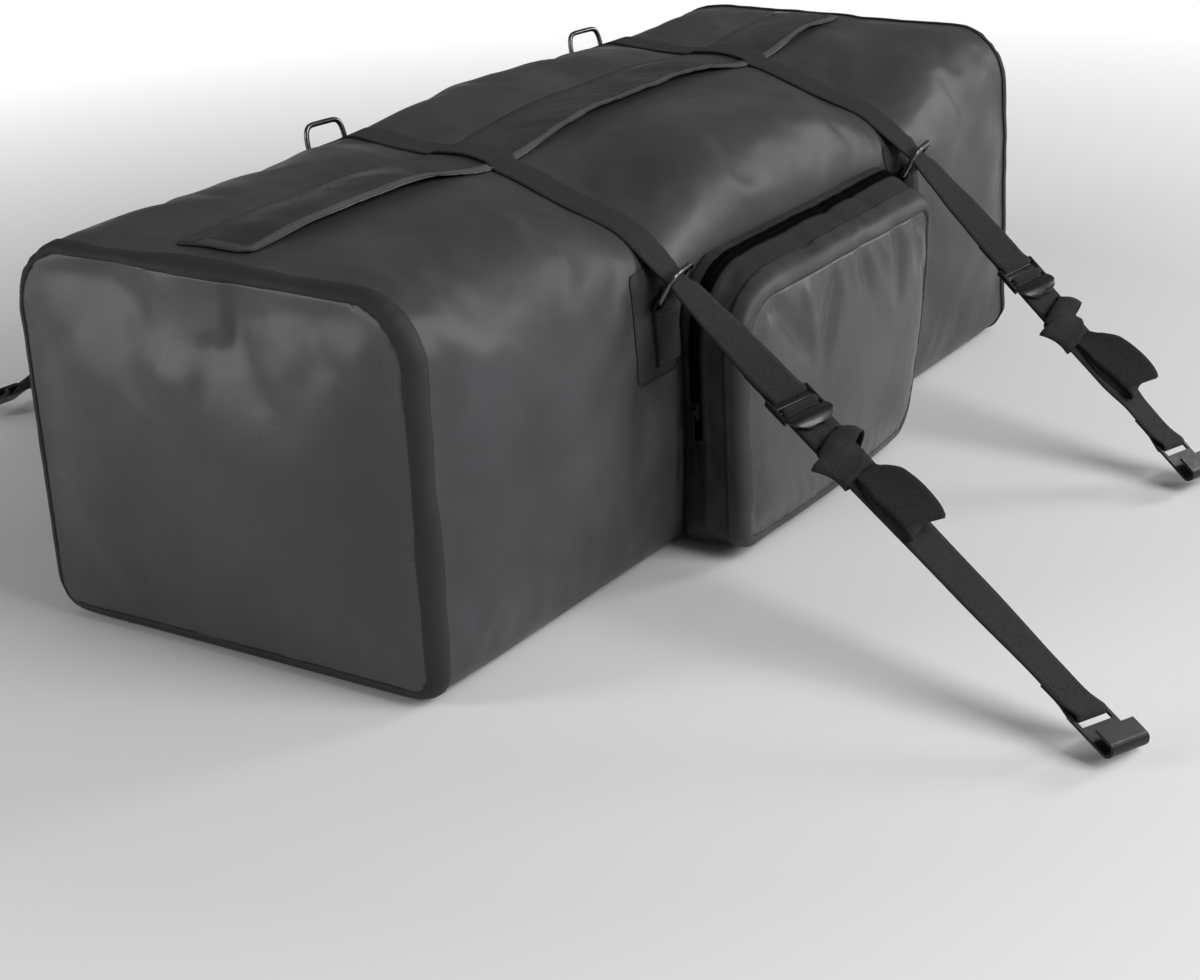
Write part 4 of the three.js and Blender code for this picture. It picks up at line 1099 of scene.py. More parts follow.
def add_block(shape: bmesh.types.BMesh, size: Vector, matrix: Matrix, edge: float, segments: int = 3) -> None:
    """Adds a block with rounded edges.

    Args:
        shape: The mesh to add to.
        size: The block's three sizes.
        matrix: Its place and turn.
        edge: The radius of its edges.
        segments: Faces across an edge.
    """
    made = bmesh.ops.create_cube(shape, size=1.0, matrix=matrix @ Matrix.Diagonal((*size, 1.0)))
    edges = list(dict.fromkeys(e for v in made["verts"] for e in v.link_edges))
    bmesh.ops.bevel(shape, geom=edges, offset=edge, affect="EDGES", segments=segments, profile=0.5, material=-1)


def add_bar(shape: bmesh.types.BMesh, radius: float, length: float, matrix: Matrix, segments: int = 24) -> None:
    """Adds a round bar along its own Z."""
    bmesh.ops.create_cone(shape, cap_ends=True, segments=segments, radius1=radius, radius2=radius, depth=length,
                          matrix=matrix)


def wire_loop(outline: Sequence[Vector], normal: Vector, radius: float, around: int = 16) -> bmesh.types.BMesh:
    """Round wire along a closed flat outline.

    Args:
        outline: The wire's middle line.
        normal: The normal of the outline's plane.
        radius: The wire's radius.
        around: Faces round the wire.

    Returns:
        The wire, closed.
    """
    count = len(outline)
    ways = [(outline[(k + 1) % count] - outline[k - 1]).normalized() for k in range(count)]
    outs = [normal.cross(way).normalized() for way in ways]

    def place(u: float, v: float) -> Vector:
        """Where a share round the wire and a share along it lie."""
        k, turn = round(v * count) % count, 2 * math.pi * (round(u * around) % around) / around
        return outline[k] + outs[k] * (radius * math.cos(turn)) + normal * (radius * math.sin(turn))

    shape = laid_grid(around, count, place, (2 * math.pi * radius, 1.0))
    bmesh.ops.remove_doubles(shape, verts=shape.verts, dist=1e-6)
    bmesh.ops.recalc_face_normals(shape, faces=shape.faces)
    return shape


@dataclass
class Stitching:
    """Rows of stitches, each a small raised bead of thread."""

    pitch: float = 0.0042
    length: float = 0.0031
    radius: float = 0.00032
    shape: bmesh.types.BMesh = field(default_factory=bmesh.new)

    def run(self, places: Sequence[tuple[Vector, Vector]]) -> None:
        """Sews along a line.

        Args:
            places: The line's points, each with the normal of what it is sewn to.
        """
        spare = 0.0
        for (start, normal), (end, _) in zip(places, places[1:]):
            span = (end - start).length
            along = (end - start).normalized()
            while spare + self.length <= span:
                self._stitch(start + along * (spare + self.length / 2), along, normal)
                spare += self.pitch
            spare = max(0.0, spare - span)

    def _stitch(self, middle: Vector, along: Vector, normal: Vector) -> None:
        """Adds one stitch.

        Args:
            middle: Its middle.
            along: The direction that it runs in.
            normal: The normal of what it is sewn to.
        """
        across = normal.cross(along).normalized()
        turn = Matrix((along, across, along.cross(across))).transposed().to_4x4()
        size = Matrix.Diagonal((self.length / 2, self.radius * 1.2, self.radius, 1.0))
        place = Matrix.Translation(middle) @ turn @ size
        bmesh.ops.create_icosphere(self.shape, subdivisions=1, radius=1.0, matrix=place)

    def box(self, half: float, low: float, high: float, place: Callable[[float, float], Spot], steps: int) -> None:
        """Sews a box and its cross on webbing.

        Args:
            half: Half the box's width.
            low: Its lower end.
            high: Its upper end.
            place: The point and the normal at a distance across and a distance along.
            steps: Stretches that each line is cut into, to follow what it lies on.
        """
        corners = [(-half, low), (half, low), (half, high), (-half, high), (-half, low)]
        for first, last in [*zip(corners, corners[1:]), (corners[0], corners[2]), (corners[1], corners[3])]:
            shares = [k / steps for k in range(steps + 1)]
            self.run([place(*(a + (b - a) * share for a, b in zip(first, last))) for share in shares])

    def finish(self, shop: Workshop, name: str) -> None:
        """Makes the stitches a piece."""
        shop.piece(name, self.shape, THREAD)


def stretched(point: Vector, *scale: float) -> Vector:
    """A point with each of its coordinates scaled, for noise that is longer one way than another."""
    return Vector([a * b for a, b in zip(point, scale)])


# The bag


@dataclass
class PocketSizes:
    """The pocket's outline at its root and at its face, and its depth."""

    wall: float = -0.222
    depth: float = 0.074
    base: tuple[float, float, float, float] = (-0.172, 0.246, 0.006, 0.285)
    face: tuple[float, float, float, float] = (-0.180, 0.214, 0.012, 0.262)
    lower_right_cut: float = 0.026
    radii: tuple[float, float, float, float] = (0.066, 0.026, 0.040, 0.022)
    edge_radius: float = 0.007
    binding: float = 0.012
    zip_from_wall: float = 0.024
    zip_width: float = 0.0135
    zip_low: float = 0.118
    zip_right_low: float = 0.232

    def depth_of(self, point: Vector) -> float:
        """How far a point stands out from the bag's side."""
        return self.wall - point.y

    def outline(self, point: Vector, share: float = 1.0) -> float:
        """Signed distance to the pocket's outline.

        Args:
            point: The point to measure.
            share: The share of the pocket's depth at which the outline is taken.

        Returns:
            The distance, negative inside.
        """
        left, right, bottom, top = (a + (b - a) * share for a, b in zip(self.base, self.face))
        lean = self.lower_right_cut * share / (top - bottom)
        edge = right - lean * (top - point.z)
        on_left, on_top = point.x < (left + right) / 2, point.z > (bottom + top) / 2
        top_left, top_right, bottom_right, bottom_left = self.radii
        if on_left:
            radius = top_left if on_top else bottom_left
        else:
            radius = top_right if on_top else bottom_right
        across = left - point.x if on_left else point.x - edge
        along = point.z - top if on_top else bottom - point.z
        return rounded_distance(across, along, radius)


POCKET = PocketSizes()
FLAP_NEAR, FLAP_FAR, FLAP_FRONT, FLAP_REAR = -0.522, 0.520, -0.026, 0.060
FLAP_HEIGHT = 0.30
BAG_FOLDS = folds(
    (0.40, -0.10, 0.36, 0.52, 0.06, 0.365, 0.016, 0.0028),
    (0.36, 0.02, 0.36, 0.47, 0.12, 0.365, 0.012, 0.0022),
    (0.42, -0.222, 0.27, 0.50, -0.20, 0.34, 0.014, -0.0035),
    (0.38, -0.225, 0.22, 0.47, -0.225, 0.30, 0.018, -0.0030),
    (0.44, -0.225, 0.16, 0.53, -0.225, 0.24, 0.020, 0.0025),
    (0.22, -0.20, 0.31, 0.30, -0.10, 0.355, 0.012, -0.0024),
    (-0.26, -0.225, 0.15, -0.38, -0.225, 0.06, 0.022, -0.0028),
    (-0.30, -0.225, 0.22, -0.46, -0.225, 0.17, 0.020, 0.0022),
    (-0.46, -0.225, 0.28, -0.54, -0.222, 0.20, 0.013, -0.0024),
    (-0.20, -0.16, 0.345, -0.34, -0.06, 0.362, 0.014, 0.0020),
    (-0.08, -0.14, 0.35, 0.05, -0.08, 0.362, 0.018, 0.0018),
    (-0.05, 0.10, 0.36, -0.12, 0.20, 0.34, 0.016, -0.0022),
    (-0.562, 0.170, 0.332, -0.562, -0.120, 0.324, 0.038, -0.0066),
    (-0.562, 0.115, 0.335, -0.562, 0.085, 0.245, 0.030, -0.0040),
    (-0.562, 0.050, 0.335, -0.562, 0.035, 0.270, 0.026, 0.0030),
    (-0.562, -0.005, 0.330, -0.562, -0.045, 0.255, 0.028, -0.0050),
    (-0.562, -0.150, 0.310, -0.562, -0.100, 0.250, 0.026, -0.0024),
    (-0.562, 0.14, 0.10, -0.562, 0.05, 0.045, 0.018, -0.0018),
    (-0.562, -0.17, 0.09, -0.562, -0.09, 0.05, 0.016, 0.0016),
)
POCKET_FOLDS = folds(
    (-0.115, -0.297, 0.235, -0.060, -0.297, 0.175, 0.012, -0.0078),
    (-0.060, -0.297, 0.235, -0.052, -0.297, 0.170, 0.010, 0.0040),
    (-0.005, -0.297, 0.230, -0.040, -0.297, 0.165, 0.012, -0.0072),
    (0.060, -0.297, 0.245, 0.050, -0.297, 0.205, 0.012, -0.0036),
    (0.130, -0.297, 0.240, 0.122, -0.297, 0.185, 0.010, -0.0062),
    (0.170, -0.295, 0.235, 0.168, -0.295, 0.195, 0.009, -0.0054),
    (-0.14, -0.297, 0.06, -0.06, -0.297, 0.03, 0.014, 0.0022),
    (0.02, -0.29, 0.05, 0.10, -0.287, 0.07, 0.016, -0.0024),
    (-0.06, -0.262, 0.275, -0.02, -0.285, 0.268, 0.010, -0.0012),
    (0.06, -0.255, 0.276, 0.10, -0.282, 0.268, 0.010, -0.0010),
    (-0.178, -0.262, 0.10, -0.178, -0.285, 0.06, 0.009, -0.0022),
)


@dataclass
class BagShell:
    """The bag's main shell, with its end panels and seam tapes."""

    shop: Workshop
    plan: ClothPlan = ClothPlan(voxel=0.010, travel=0.011)
    base_zone: float = 0.03
    seam_zone: float = 0.026
    strap_zone: float = 0.023
    strap_height: float = 0.25
    ring_zone: float = 0.046
    ring_height: float = 0.17
    fade: float = 0.012
    flat_base: float = 0.012
    puckers: float = 0.0017
    pucker_reach: float = 0.035
    lumps: float = 0.0026
    ripples: float = 0.0007
    creases: float = 0.0016
    calm_on_flap: float = 0.25
    bulge: tuple[float, float, float] = (0.07, 0.18, 0.348)
    bulge_reach: float = 0.165
    bulge_height: float = 0.0135
    panel_lift: float = 0.0004
    panel_wall: float = 0.0008
    panel_under_tape: float = 0.0015
    tape_lift: float = 0.0006
    tape_wall: float = 0.0011

    def held(self, point: Vector) -> float:
        """How firmly the shell is held: at its base, seams, straps, rings, flap and pocket.

        Args:
            point: The point on the solid.

        Returns:
            The share, from 0 to 1.
        """
        if point.z < self.base_zone:
            return 1.0
        seam = max(BAG.half_length - self.seam_zone - abs(point.x), -BAG.end_outline(point) - self.seam_zone)
        holds = [1 - ease(seam, 0.0, self.fade)]
        for station in BAG.stations:
            away = abs(BAG.strap_offset(point, station))
            if point.z > self.strap_height:
                holds.append(1 - ease(away, self.strap_zone, self.strap_zone + self.fade))
            if point.z > self.ring_height and abs(point.y) > 0.15:
                holds.append(1 - ease(away, self.ring_zone, self.ring_zone + self.fade))
        if point.z > FLAP_HEIGHT and FLAP_FRONT - 0.02 < point.y < FLAP_REAR + 0.01:
            holds.append(1.0)
        if point.y < -0.2:
            holds.append(1 - ease(POCKET.outline(point, 0.0), 0.0, 0.02))
        return max(holds)

    def crisp(self, point: Vector) -> float:
        """The seams round the ends keep the solid's edge."""
        inside = max(BAG.half_length - abs(point.x), -BAG.end_outline(point))
        return 1 - ease(inside, 0.012, 0.024)

    def relief(self, point: Vector) -> float:
        """Puckers that run away from the seams, soft lumps of the cargo, and the single folds.

        Args:
            point: The point on the settled shell.

        Returns:
            How far it is lifted.
        """
        if point.z < self.flat_base:
            return 0.0
        from_tape = BAG.half_length - BAG.tape_on_tube - abs(point.x)
        height = 0.0
        if from_tape > -0.03:
            wave = noise.noise(stretched(point, 7, 52, 52))
            height += self.puckers * wave * math.exp(-abs(from_tape) / self.pucker_reach)
        on_flap = point.z > FLAP_HEIGHT and FLAP_FRONT - 0.006 < point.y < FLAP_REAR + 0.004
        calm = self.calm_on_flap if on_flap else 1.0
        height += calm * self.lumps * noise.noise(point * 8)
        height += calm * self.ripples * noise.noise(stretched(point, 22, 30, 30))
        drift = Vector([noise.noise(point * 4 + UP * high) for high in (0, 9, -9)]) * 0.6
        ridge = 1 - abs(noise.noise(stretched(point, 5, 8, 8) + drift))
        where = 0.35 + 0.65 * ease(noise.noise(point * 3.1 + Vector((3.0, 1.0, 0.0))), -0.1, 0.35)
        height += calm * self.creases * where * (ridge ** 9 - 0.2)
        back = (point - Vector(self.bulge)) / self.bulge_reach
        height += calm * self.bulge_height * math.exp(-back.x ** 2 - 3 * back.y ** 2 - 3 * back.z ** 2)
        return height + calm * sum(fold.height(point) for fold in BAG_FOLDS)

    def build(self) -> Surface:
        """Builds the shell, its panels and its tapes.

        Returns:
            The shell's surface.
        """
        shell = StuffedShell("bag_shell", "bag_body", self.plan, self.held, self.relief, self.crisp)
        made = shell.build(self.shop, TARPAULIN)
        surface = Surface(made)
        for end, sign in (("near", -1), ("far", 1)):
            self._dress_end(surface, end, sign)
        return surface

    def _dress_end(self, surface: Surface, end: str, sign: int) -> None:
        """Lays an end's panel, and the tape over its seam: a little on the end, the rest on the tube.

        Args:
            surface: The shell's surface.
            end: The end's name.
            sign: The sign of X there.
        """
        def on_panel(point: Vector) -> float:
            """Negative inside the tape's inner edge, with a little under it."""
            inside = BAG.end_outline(point) + BAG.tape_on_end - self.panel_under_tape
            return max(inside, BAG.end_plane - sign * point.x)

        def on_tape(point: Vector) -> float:
            """Negative between the tape's two edges."""
            on_end = -(BAG.end_outline(point) + BAG.tape_on_end) if sign * point.x > BAG.end_plane - 0.004 else -0.01
            return max(BAG.half_length - BAG.tape_on_tube - sign * point.x, on_end)

        shape = surface.cut(on_panel, self.panel_lift)
        self.shop.piece(f"{end}_panel", shape, PANEL_CLOTH, f"{end}_end_panel", self.panel_wall)
        shape = surface.cut(on_tape, self.tape_lift)
        self.shop.piece(f"{end}_tape", shape, TAPE_CLOTH, f"{end}_seam_tape", self.tape_wall)


@dataclass
class TopFlap:
    """The flap over the main zip, with its hem, and the zip under it."""

    shop: Workshop
    surface: Surface
    hem_width: float = 0.009
    hem_end: float = 0.020
    thickness: float = 0.0012
    hem_wall: float = 0.0009
    front_corner: float = 0.012
    rear_corner: float = 0.006
    far_corner: float = 0.008
    slider_from: float = -0.462
    slider_to: float = -0.298
    crown: float = 0.0033
    tunnel: float = 0.0040
    lip: float = 0.0052
    waves: float = 0.0021
    creases: float = 0.0013
    seam_insets: tuple[float, float] = (0.0035, 0.0095)
    seam_step: float = 0.012

    def outline(self, point: Vector) -> float:
        """Signed distance to the flap's outline.

        Args:
            point: The point to measure.

        Returns:
            The distance, negative inside.
        """
        middle = (FLAP_FRONT + FLAP_REAR) / 2
        across = abs(point.y - middle) - (FLAP_REAR - FLAP_FRONT) / 2
        along = max(FLAP_NEAR - point.x, point.x - FLAP_FAR)
        radius = self.far_corner
        if point.x < 0:
            radius = self.front_corner if point.y < middle else self.rear_corner
        return max(rounded_distance(across, along, radius), FLAP_HEIGHT - point.z)

    def from_end(self, point: Vector) -> float:
        """How far a point is from the flap's nearer end."""
        return min(point.x - FLAP_NEAR, FLAP_FAR - point.x)

    def slack(self, point: Vector) -> float:
        """How loose the flap is: 0 under a strap and at its ends, 1 away from them."""
        away = min(abs(BAG.strap_offset(point, station)) for station in BAG.stations)
        return ease(away, 0.03, 0.13) * ease(self.from_end(point), 0.01, 0.10)

    def lift(self, point: Vector) -> float:
        """How far the flap stands off the shell: a tunnel over the zip, a lip in front, sewn flat at its rear edge.

        Args:
            point: The point on the shell.

        Returns:
            The height.
        """
        share = max(0.0, min(1.0, (point.y - FLAP_FRONT) / (FLAP_REAR - FLAP_FRONT)))
        slack = self.slack(point)
        end = ease(self.from_end(point), -0.004, 0.016)
        crown = math.sin(math.pi * share ** 0.8) ** 0.8
        tunnel = ease(point.x, self.slider_from - 0.045, self.slider_from)
        tunnel *= 1 - ease(point.x, self.slider_to, self.slider_to + 0.05)
        lip = slack * self.lip * (1 - ease(share, 0.0, 0.24))
        wave = noise.noise(Vector((point.x * 15 + point.y * 14, point.y * 7, 2.0)))
        crease = (1 - abs(noise.noise(Vector((point.x * 24 + point.y * 30, point.y * 14, 5.0))))) ** 6
        wrinkles = slack * (self.waves * wave + self.creases * crease) * (1 - ease(share, 0.7, 0.95))
        raised = (0.0006 + self.crown * end + self.tunnel * tunnel) * crown
        return 0.0007 + raised + lip + wrinkles * (1 - 0.6 * tunnel)

    def build(self) -> None:
        """Builds the flap and its hem, and dresses the zip under it."""
        shape = self.surface.cut(self.outline, self.lift)
        flap = self.shop.piece("zip_flap", shape, FLAP_CLOTH, "top_flap", self.thickness)

        def on_hem(point: Vector) -> float:
            """Negative on the hem, which stops before the rear edge."""
            inside = self.outline(point)
            return max(inside + 0.0004, -(inside + self.hem_width), point.y - (FLAP_REAR - self.hem_end))

        shape = self.surface.cut(on_hem, lambda point: self.lift(point) + self.thickness)
        hem = self.shop.piece("zip_flap_hem", shape, HEM_CLOTH, wall=self.hem_wall)
        sewing = Stitching()
        low, high = FLAP_NEAR + self.rear_corner, FLAP_FAR - 0.01
        count = math.ceil((high - low) / self.seam_step)
        for inset in self.seam_insets:
            sewing.run([self._rear_place(low + (high - low) * k / count, inset) for k in range(count + 1)])
        sewing.finish(self.shop, "zip_flap_stitches")
        self.shop.keep("main_zip_chain", ZIP_COIL)
        self.shop.keep("main_zip_slider", STEEL, 0.0004)
        self.shop.keep("main_zip_pull", STEEL, 0.0003)

    def _rear_place(self, x: float, inset: float) -> Spot:
        """A point on the flap near its rear edge, and the normal there."""
        found, normal = self.surface.over_top(x, FLAP_REAR - inset)
        return found + normal * (self.lift(found) + self.thickness + 0.0001), normal


@dataclass
class Pocket:
    """The side pocket: gusset and body, binding, face panel, zip, slider and pull."""

    shop: Workshop
    plan: ClothPlan = ClothPlan(voxel=0.0055, travel=0.006)
    face_plane: float = 0.058
    lumps: float = 0.0009
    creases: tuple[float, float] = (0.0003, 0.0005)
    puckers: float = 0.0007
    channel: float = 0.0013
    channel_half: float = 0.0092
    channel_edge: float = 0.0026
    face_lift: float = 0.0003
    face_wall: float = 0.0007
    rim_lift: float = 0.0005
    rim_wall: float = 0.0011
    coil_half: float = 0.0022

    def held(self, point: Vector) -> float:
        """The pocket is held at the bag's side, at its base and at the edge of its face.

        Args:
            point: The point on the solid.

        Returns:
            The share, from 0 to 1.
        """
        depth = POCKET.depth_of(point)
        root = 1 - ease(depth, 0.006, 0.016)
        rim = 1 - ease(abs(POCKET.outline(point) + 0.005), 0.004, 0.010) if depth > self.face_plane else 0.0
        return max(root, rim * 0.9)

    def relief(self, point: Vector) -> float:
        """The zip's channel, puckers along the binding, and the single folds.

        Args:
            point: The point on the settled shell.

        Returns:
            How far it is lifted.
        """
        depth = POCKET.depth_of(point)
        if depth < 0.004:
            return 0.0
        height = self.lumps * noise.noise(point * 11)
        if depth > self.face_plane:
            low, more = self.creases
            drift = Vector((noise.noise(point * 9), 0.0, 0.0))
            ridge = 1 - abs(noise.noise(Vector((point.x * 15, 4.0, point.z * 11)) + drift))
            height += (low + more * ease(point.z, 0.14, 0.24)) * (ridge ** 7 - 0.25)
            from_binding = abs(POCKET.outline(point) + POCKET.binding)
            wave = noise.noise(Vector((point.x * 36, 1.0, point.z * 36)))
            height += self.puckers * math.exp(-from_binding / 0.016) * wave
        else:
            band = abs(depth - POCKET.zip_from_wall)
            height += self.channel * math.exp(-((band - self.channel_half) / self.channel_edge) ** 2)
        return height + sum(fold.height(point) for fold in POCKET_FOLDS)

    def build(self) -> None:
        """Builds the pocket's pieces."""
        shell = StuffedShell("pocket_shell", "pocket_body", self.plan, self.held, self.relief)
        # The shell's finish is partly its own darker cloth and partly painted shade.
        made = shell.build(self.shop, GUSSET_CLOTH)
        surface = Surface(made)
        self._face(surface)
        self._zip(surface)

    def _face(self, surface: Surface) -> None:
        """Lays the face panel and the binding round it.

        Args:
            surface: The pocket's surface.
        """
        def panel(point: Vector) -> float:
            """Negative inside the binding, with a little under it."""
            return max(POCKET.outline(point) + POCKET.binding - 0.001, self.face_plane - POCKET.depth_of(point))

        def on_face(point: Vector) -> bool:
            """Whether a point is past the rounded edge of the face."""
            return POCKET.depth_of(point) > self.face_plane + 0.006

        def binding(point: Vector) -> float:
            """Negative on the binding, which turns over the edge."""
            inner = -(POCKET.outline(point) + POCKET.binding) if on_face(point) else -0.01
            return max(inner, POCKET.depth - POCKET.edge_radius - POCKET.binding - POCKET.depth_of(point))

        shape = surface.cut(panel, self.face_lift)
        self.shop.piece("pocket_front", shape, FACE_CLOTH, "pocket_face", self.face_wall)
        shape = surface.cut(binding, self.rim_lift)
        self.shop.piece("pocket_rim", shape, RIM_CLOTH, "pocket_binding", self.rim_wall)

    def _zip(self, surface: Surface) -> None:
        """Lays the zip's band and its coil, up the left side and over the top, and dresses the slider.

        Args:
            surface: The pocket's surface.
        """
        def on_zip(point: Vector, half: float) -> float:
            """Negative on a band of that half width along the zip."""
            low = POCKET.zip_low if point.x < 0 else POCKET.zip_right_low
            return max(abs(POCKET.depth_of(point) - POCKET.zip_from_wall) - half, low - point.z)

        # The band is near black: its own black tape, and painted shade of its recess.
        shape = surface.cut(lambda point: on_zip(point, POCKET.zip_width / 2), 0.0006)
        self.shop.piece("pocket_zip_band", shape, ZIP_COIL, "pocket_zip_chain", 0.0006)
        shape = surface.cut(lambda point: on_zip(point, self.coil_half), 0.0012)
        self.shop.piece("pocket_zip_coil", shape, ZIP_COIL, wall=0.0007)
        self.shop.keep("pocket_zip_slider", CLIP_COATING, 0.0006)
        self.shop.keep("pocket_zip_pull", CLIP_COATING, 0.0005)


PATCH_SPAN = {"near": (0.050, 0.0205), "far": (0.034, 0.034)}
PATCH_HEIGHTS = {Side.FRONT: (0.188, 0.292), Side.BACK: (0.232, 0.345)}


@dataclass
class RingPlace:
    """A D-ring with the tab that holds it and the patch under the tab."""

    shop: Workshop
    surface: Surface
    line: StrapLine
    inner_width: float = 0.044
    depth: float = 0.032
    corner: float = 0.005
    wire: float = 0.00275
    squareness: float = 0.32
    patch_lift: float = 0.0004
    patch_wall: float = 0.0009
    patch_corner: float = 0.008
    tab_margin: float = 0.012
    back_tab_top: float = 0.300
    sewn_in: float = 0.004

    def ring_outline(self) -> list[Vector]:
        """The D's middle line: a straight bar, round corners and a squared bow.

        Returns:
            Its points, in order.
        """
        line, half = self.line, self.inner_width / 2 + self.wire
        bow = self.depth - self.corner
        turns = [math.radians(15 * k) for k in range(7)]
        inner = half - self.corner
        flat: list[tuple[float, float]] = [(half * share, 0.0) for share in (-0.6, -0.3, 0.0, 0.3, 0.6)]
        flat += [(inner + self.corner * math.sin(t), self.corner - self.corner * math.cos(t)) for t in turns]
        for k in range(1, 28):
            t = math.pi * k / 28
            squarer = math.copysign(abs(math.cos(t)) ** self.squareness, math.cos(t))
            flat.append((half * squarer, self.corner + bow * math.sin(t) ** (2 * self.squareness)))
        flat += [(-inner - self.corner * math.cos(t), self.corner - self.corner * math.sin(t)) for t in turns]
        return [line.bar_centre + line.bar * x + line.reach * y for x, y in flat]

    def build(self) -> None:
        """Builds the ring, the tab, the patch and their stitches."""
        name = self.line.name
        ring = wire_loop(self.ring_outline(), self.line.face, self.wire)
        self.shop.piece(f"{name}_ring", ring, STEEL, f"{name}_d_ring", body=f"{name}_ring_body")
        self._patch()
        self._tab()

    def _patch(self) -> None:
        """Lays the patch on the shell and sews its edge."""
        line = self.line
        low, high = PATCH_SPAN[line.end]
        bottom, top = PATCH_HEIGHTS[line.which]
        middle, half = (high - low) / 2, (low + high) / 2
        centre_z, half_z = (bottom + top) / 2, (top - bottom) / 2

        def covers(point: Vector) -> float:
            """Negative on the patch, and never on the bag's other side."""
            off = abs(BAG.strap_offset(point, line.station) - middle) - half, abs(point.z - centre_z) - half_z
            return rounded_distance(*off, self.patch_corner) if point.y * line.which.value >= 0.1 else 0.05

        shape = self.surface.cut(covers, self.patch_lift)
        self.shop.piece(f"{line.name}_patch", shape, TAPE_CLOTH, f"{line.name}_ring_patch", self.patch_wall)
        corners = [(-1, -1), (1, -1), (1, 1), (-1, 1), (-1, -1)]
        places = []
        for (a, b), (c, d) in zip(corners, corners[1:]):
            for share in [k / 12 for k in range(12)]:
                off = middle + (a + (c - a) * share) * (half - self.sewn_in)
                z = centre_z + (b + (d - b) * share) * (half_z - self.sewn_in)
                places.append(self._on_wall(off, z, 0.0015))
        sewing = Stitching()
        sewing.run([*places, places[0]])
        sewing.finish(self.shop, f"{line.name}_patch_stitches")

    def _on_wall(self, off: float, z: float, height: float) -> Spot:
        """A point over the wall.

        Args:
            off: Its distance along X from the strap's line.
            z: Its height.
            height: How far it stands off the shell.

        Returns:
            The point and the normal there.
        """
        line = self.line
        x = line.station + BAG.skew * line.which.value * (BAG.half_width + 0.004) + off
        found, normal = self.surface.on_side(x, z, line.which)
        return found + normal * height, normal

    def _tab(self) -> None:
        """Folds the tab: up the patch, round the ring's bar and back down on itself."""
        line = self.line
        bottom = PATCH_HEIGHTS[line.which][0] + self.tab_margin
        top = line.bar_centre.z - self.tab_margin if line.which is Side.FRONT else self.back_tab_top
        inner = self.patch_lift + self.patch_wall + WEB.gap + WEB.thickness / 2
        outer = inner + WEB.thickness + 0.0002
        count = 8
        heights = [bottom + (top - bottom) * k / count for k in range(count + 1)]
        flat = Vector((1.0, 0.0, 0.0))
        up = [Stop(self._on_wall(0.0, z, inner)[0], flat) for z in heights]
        back = [Stop(self._on_wall(0.0, z, outer)[0], flat) for z in reversed(heights)]
        bar = line.bar if line.bar.x > 0 else -line.bar
        to_root = up[-1].place - line.bar_centre
        to_root = (to_root - bar * to_root.dot(bar)).normalized()
        wall_side = bar.cross(to_root).normalized()
        if wall_side.y * line.which.value > 0:
            wall_side.negate()
        wrap = self.wire + WEB.gap + WEB.thickness / 2
        turns = [math.pi * k / 10 for k in range(11)]
        around = [Stop(line.bar_centre + wall_side * (wrap * math.cos(t)) - to_root * (wrap * math.sin(t)), bar)
                  for t in turns]
        self.shop.strap(f"{line.name}_tab", ribbon([*up, *around, *back], 0.003), f"{line.name}_ring_tab")
        sewing = Stitching()
        high = heights[-1] - self.sewn_in
        sewing.box(WEB.sewn_half, max(heights[0] + self.sewn_in, high - 0.045), high,
                   lambda off, z: self._on_wall(off, z, outer + WEB.thickness / 2 + 0.0001), 8)
        sewing.finish(self.shop, f"{line.name}_tab_stitches")


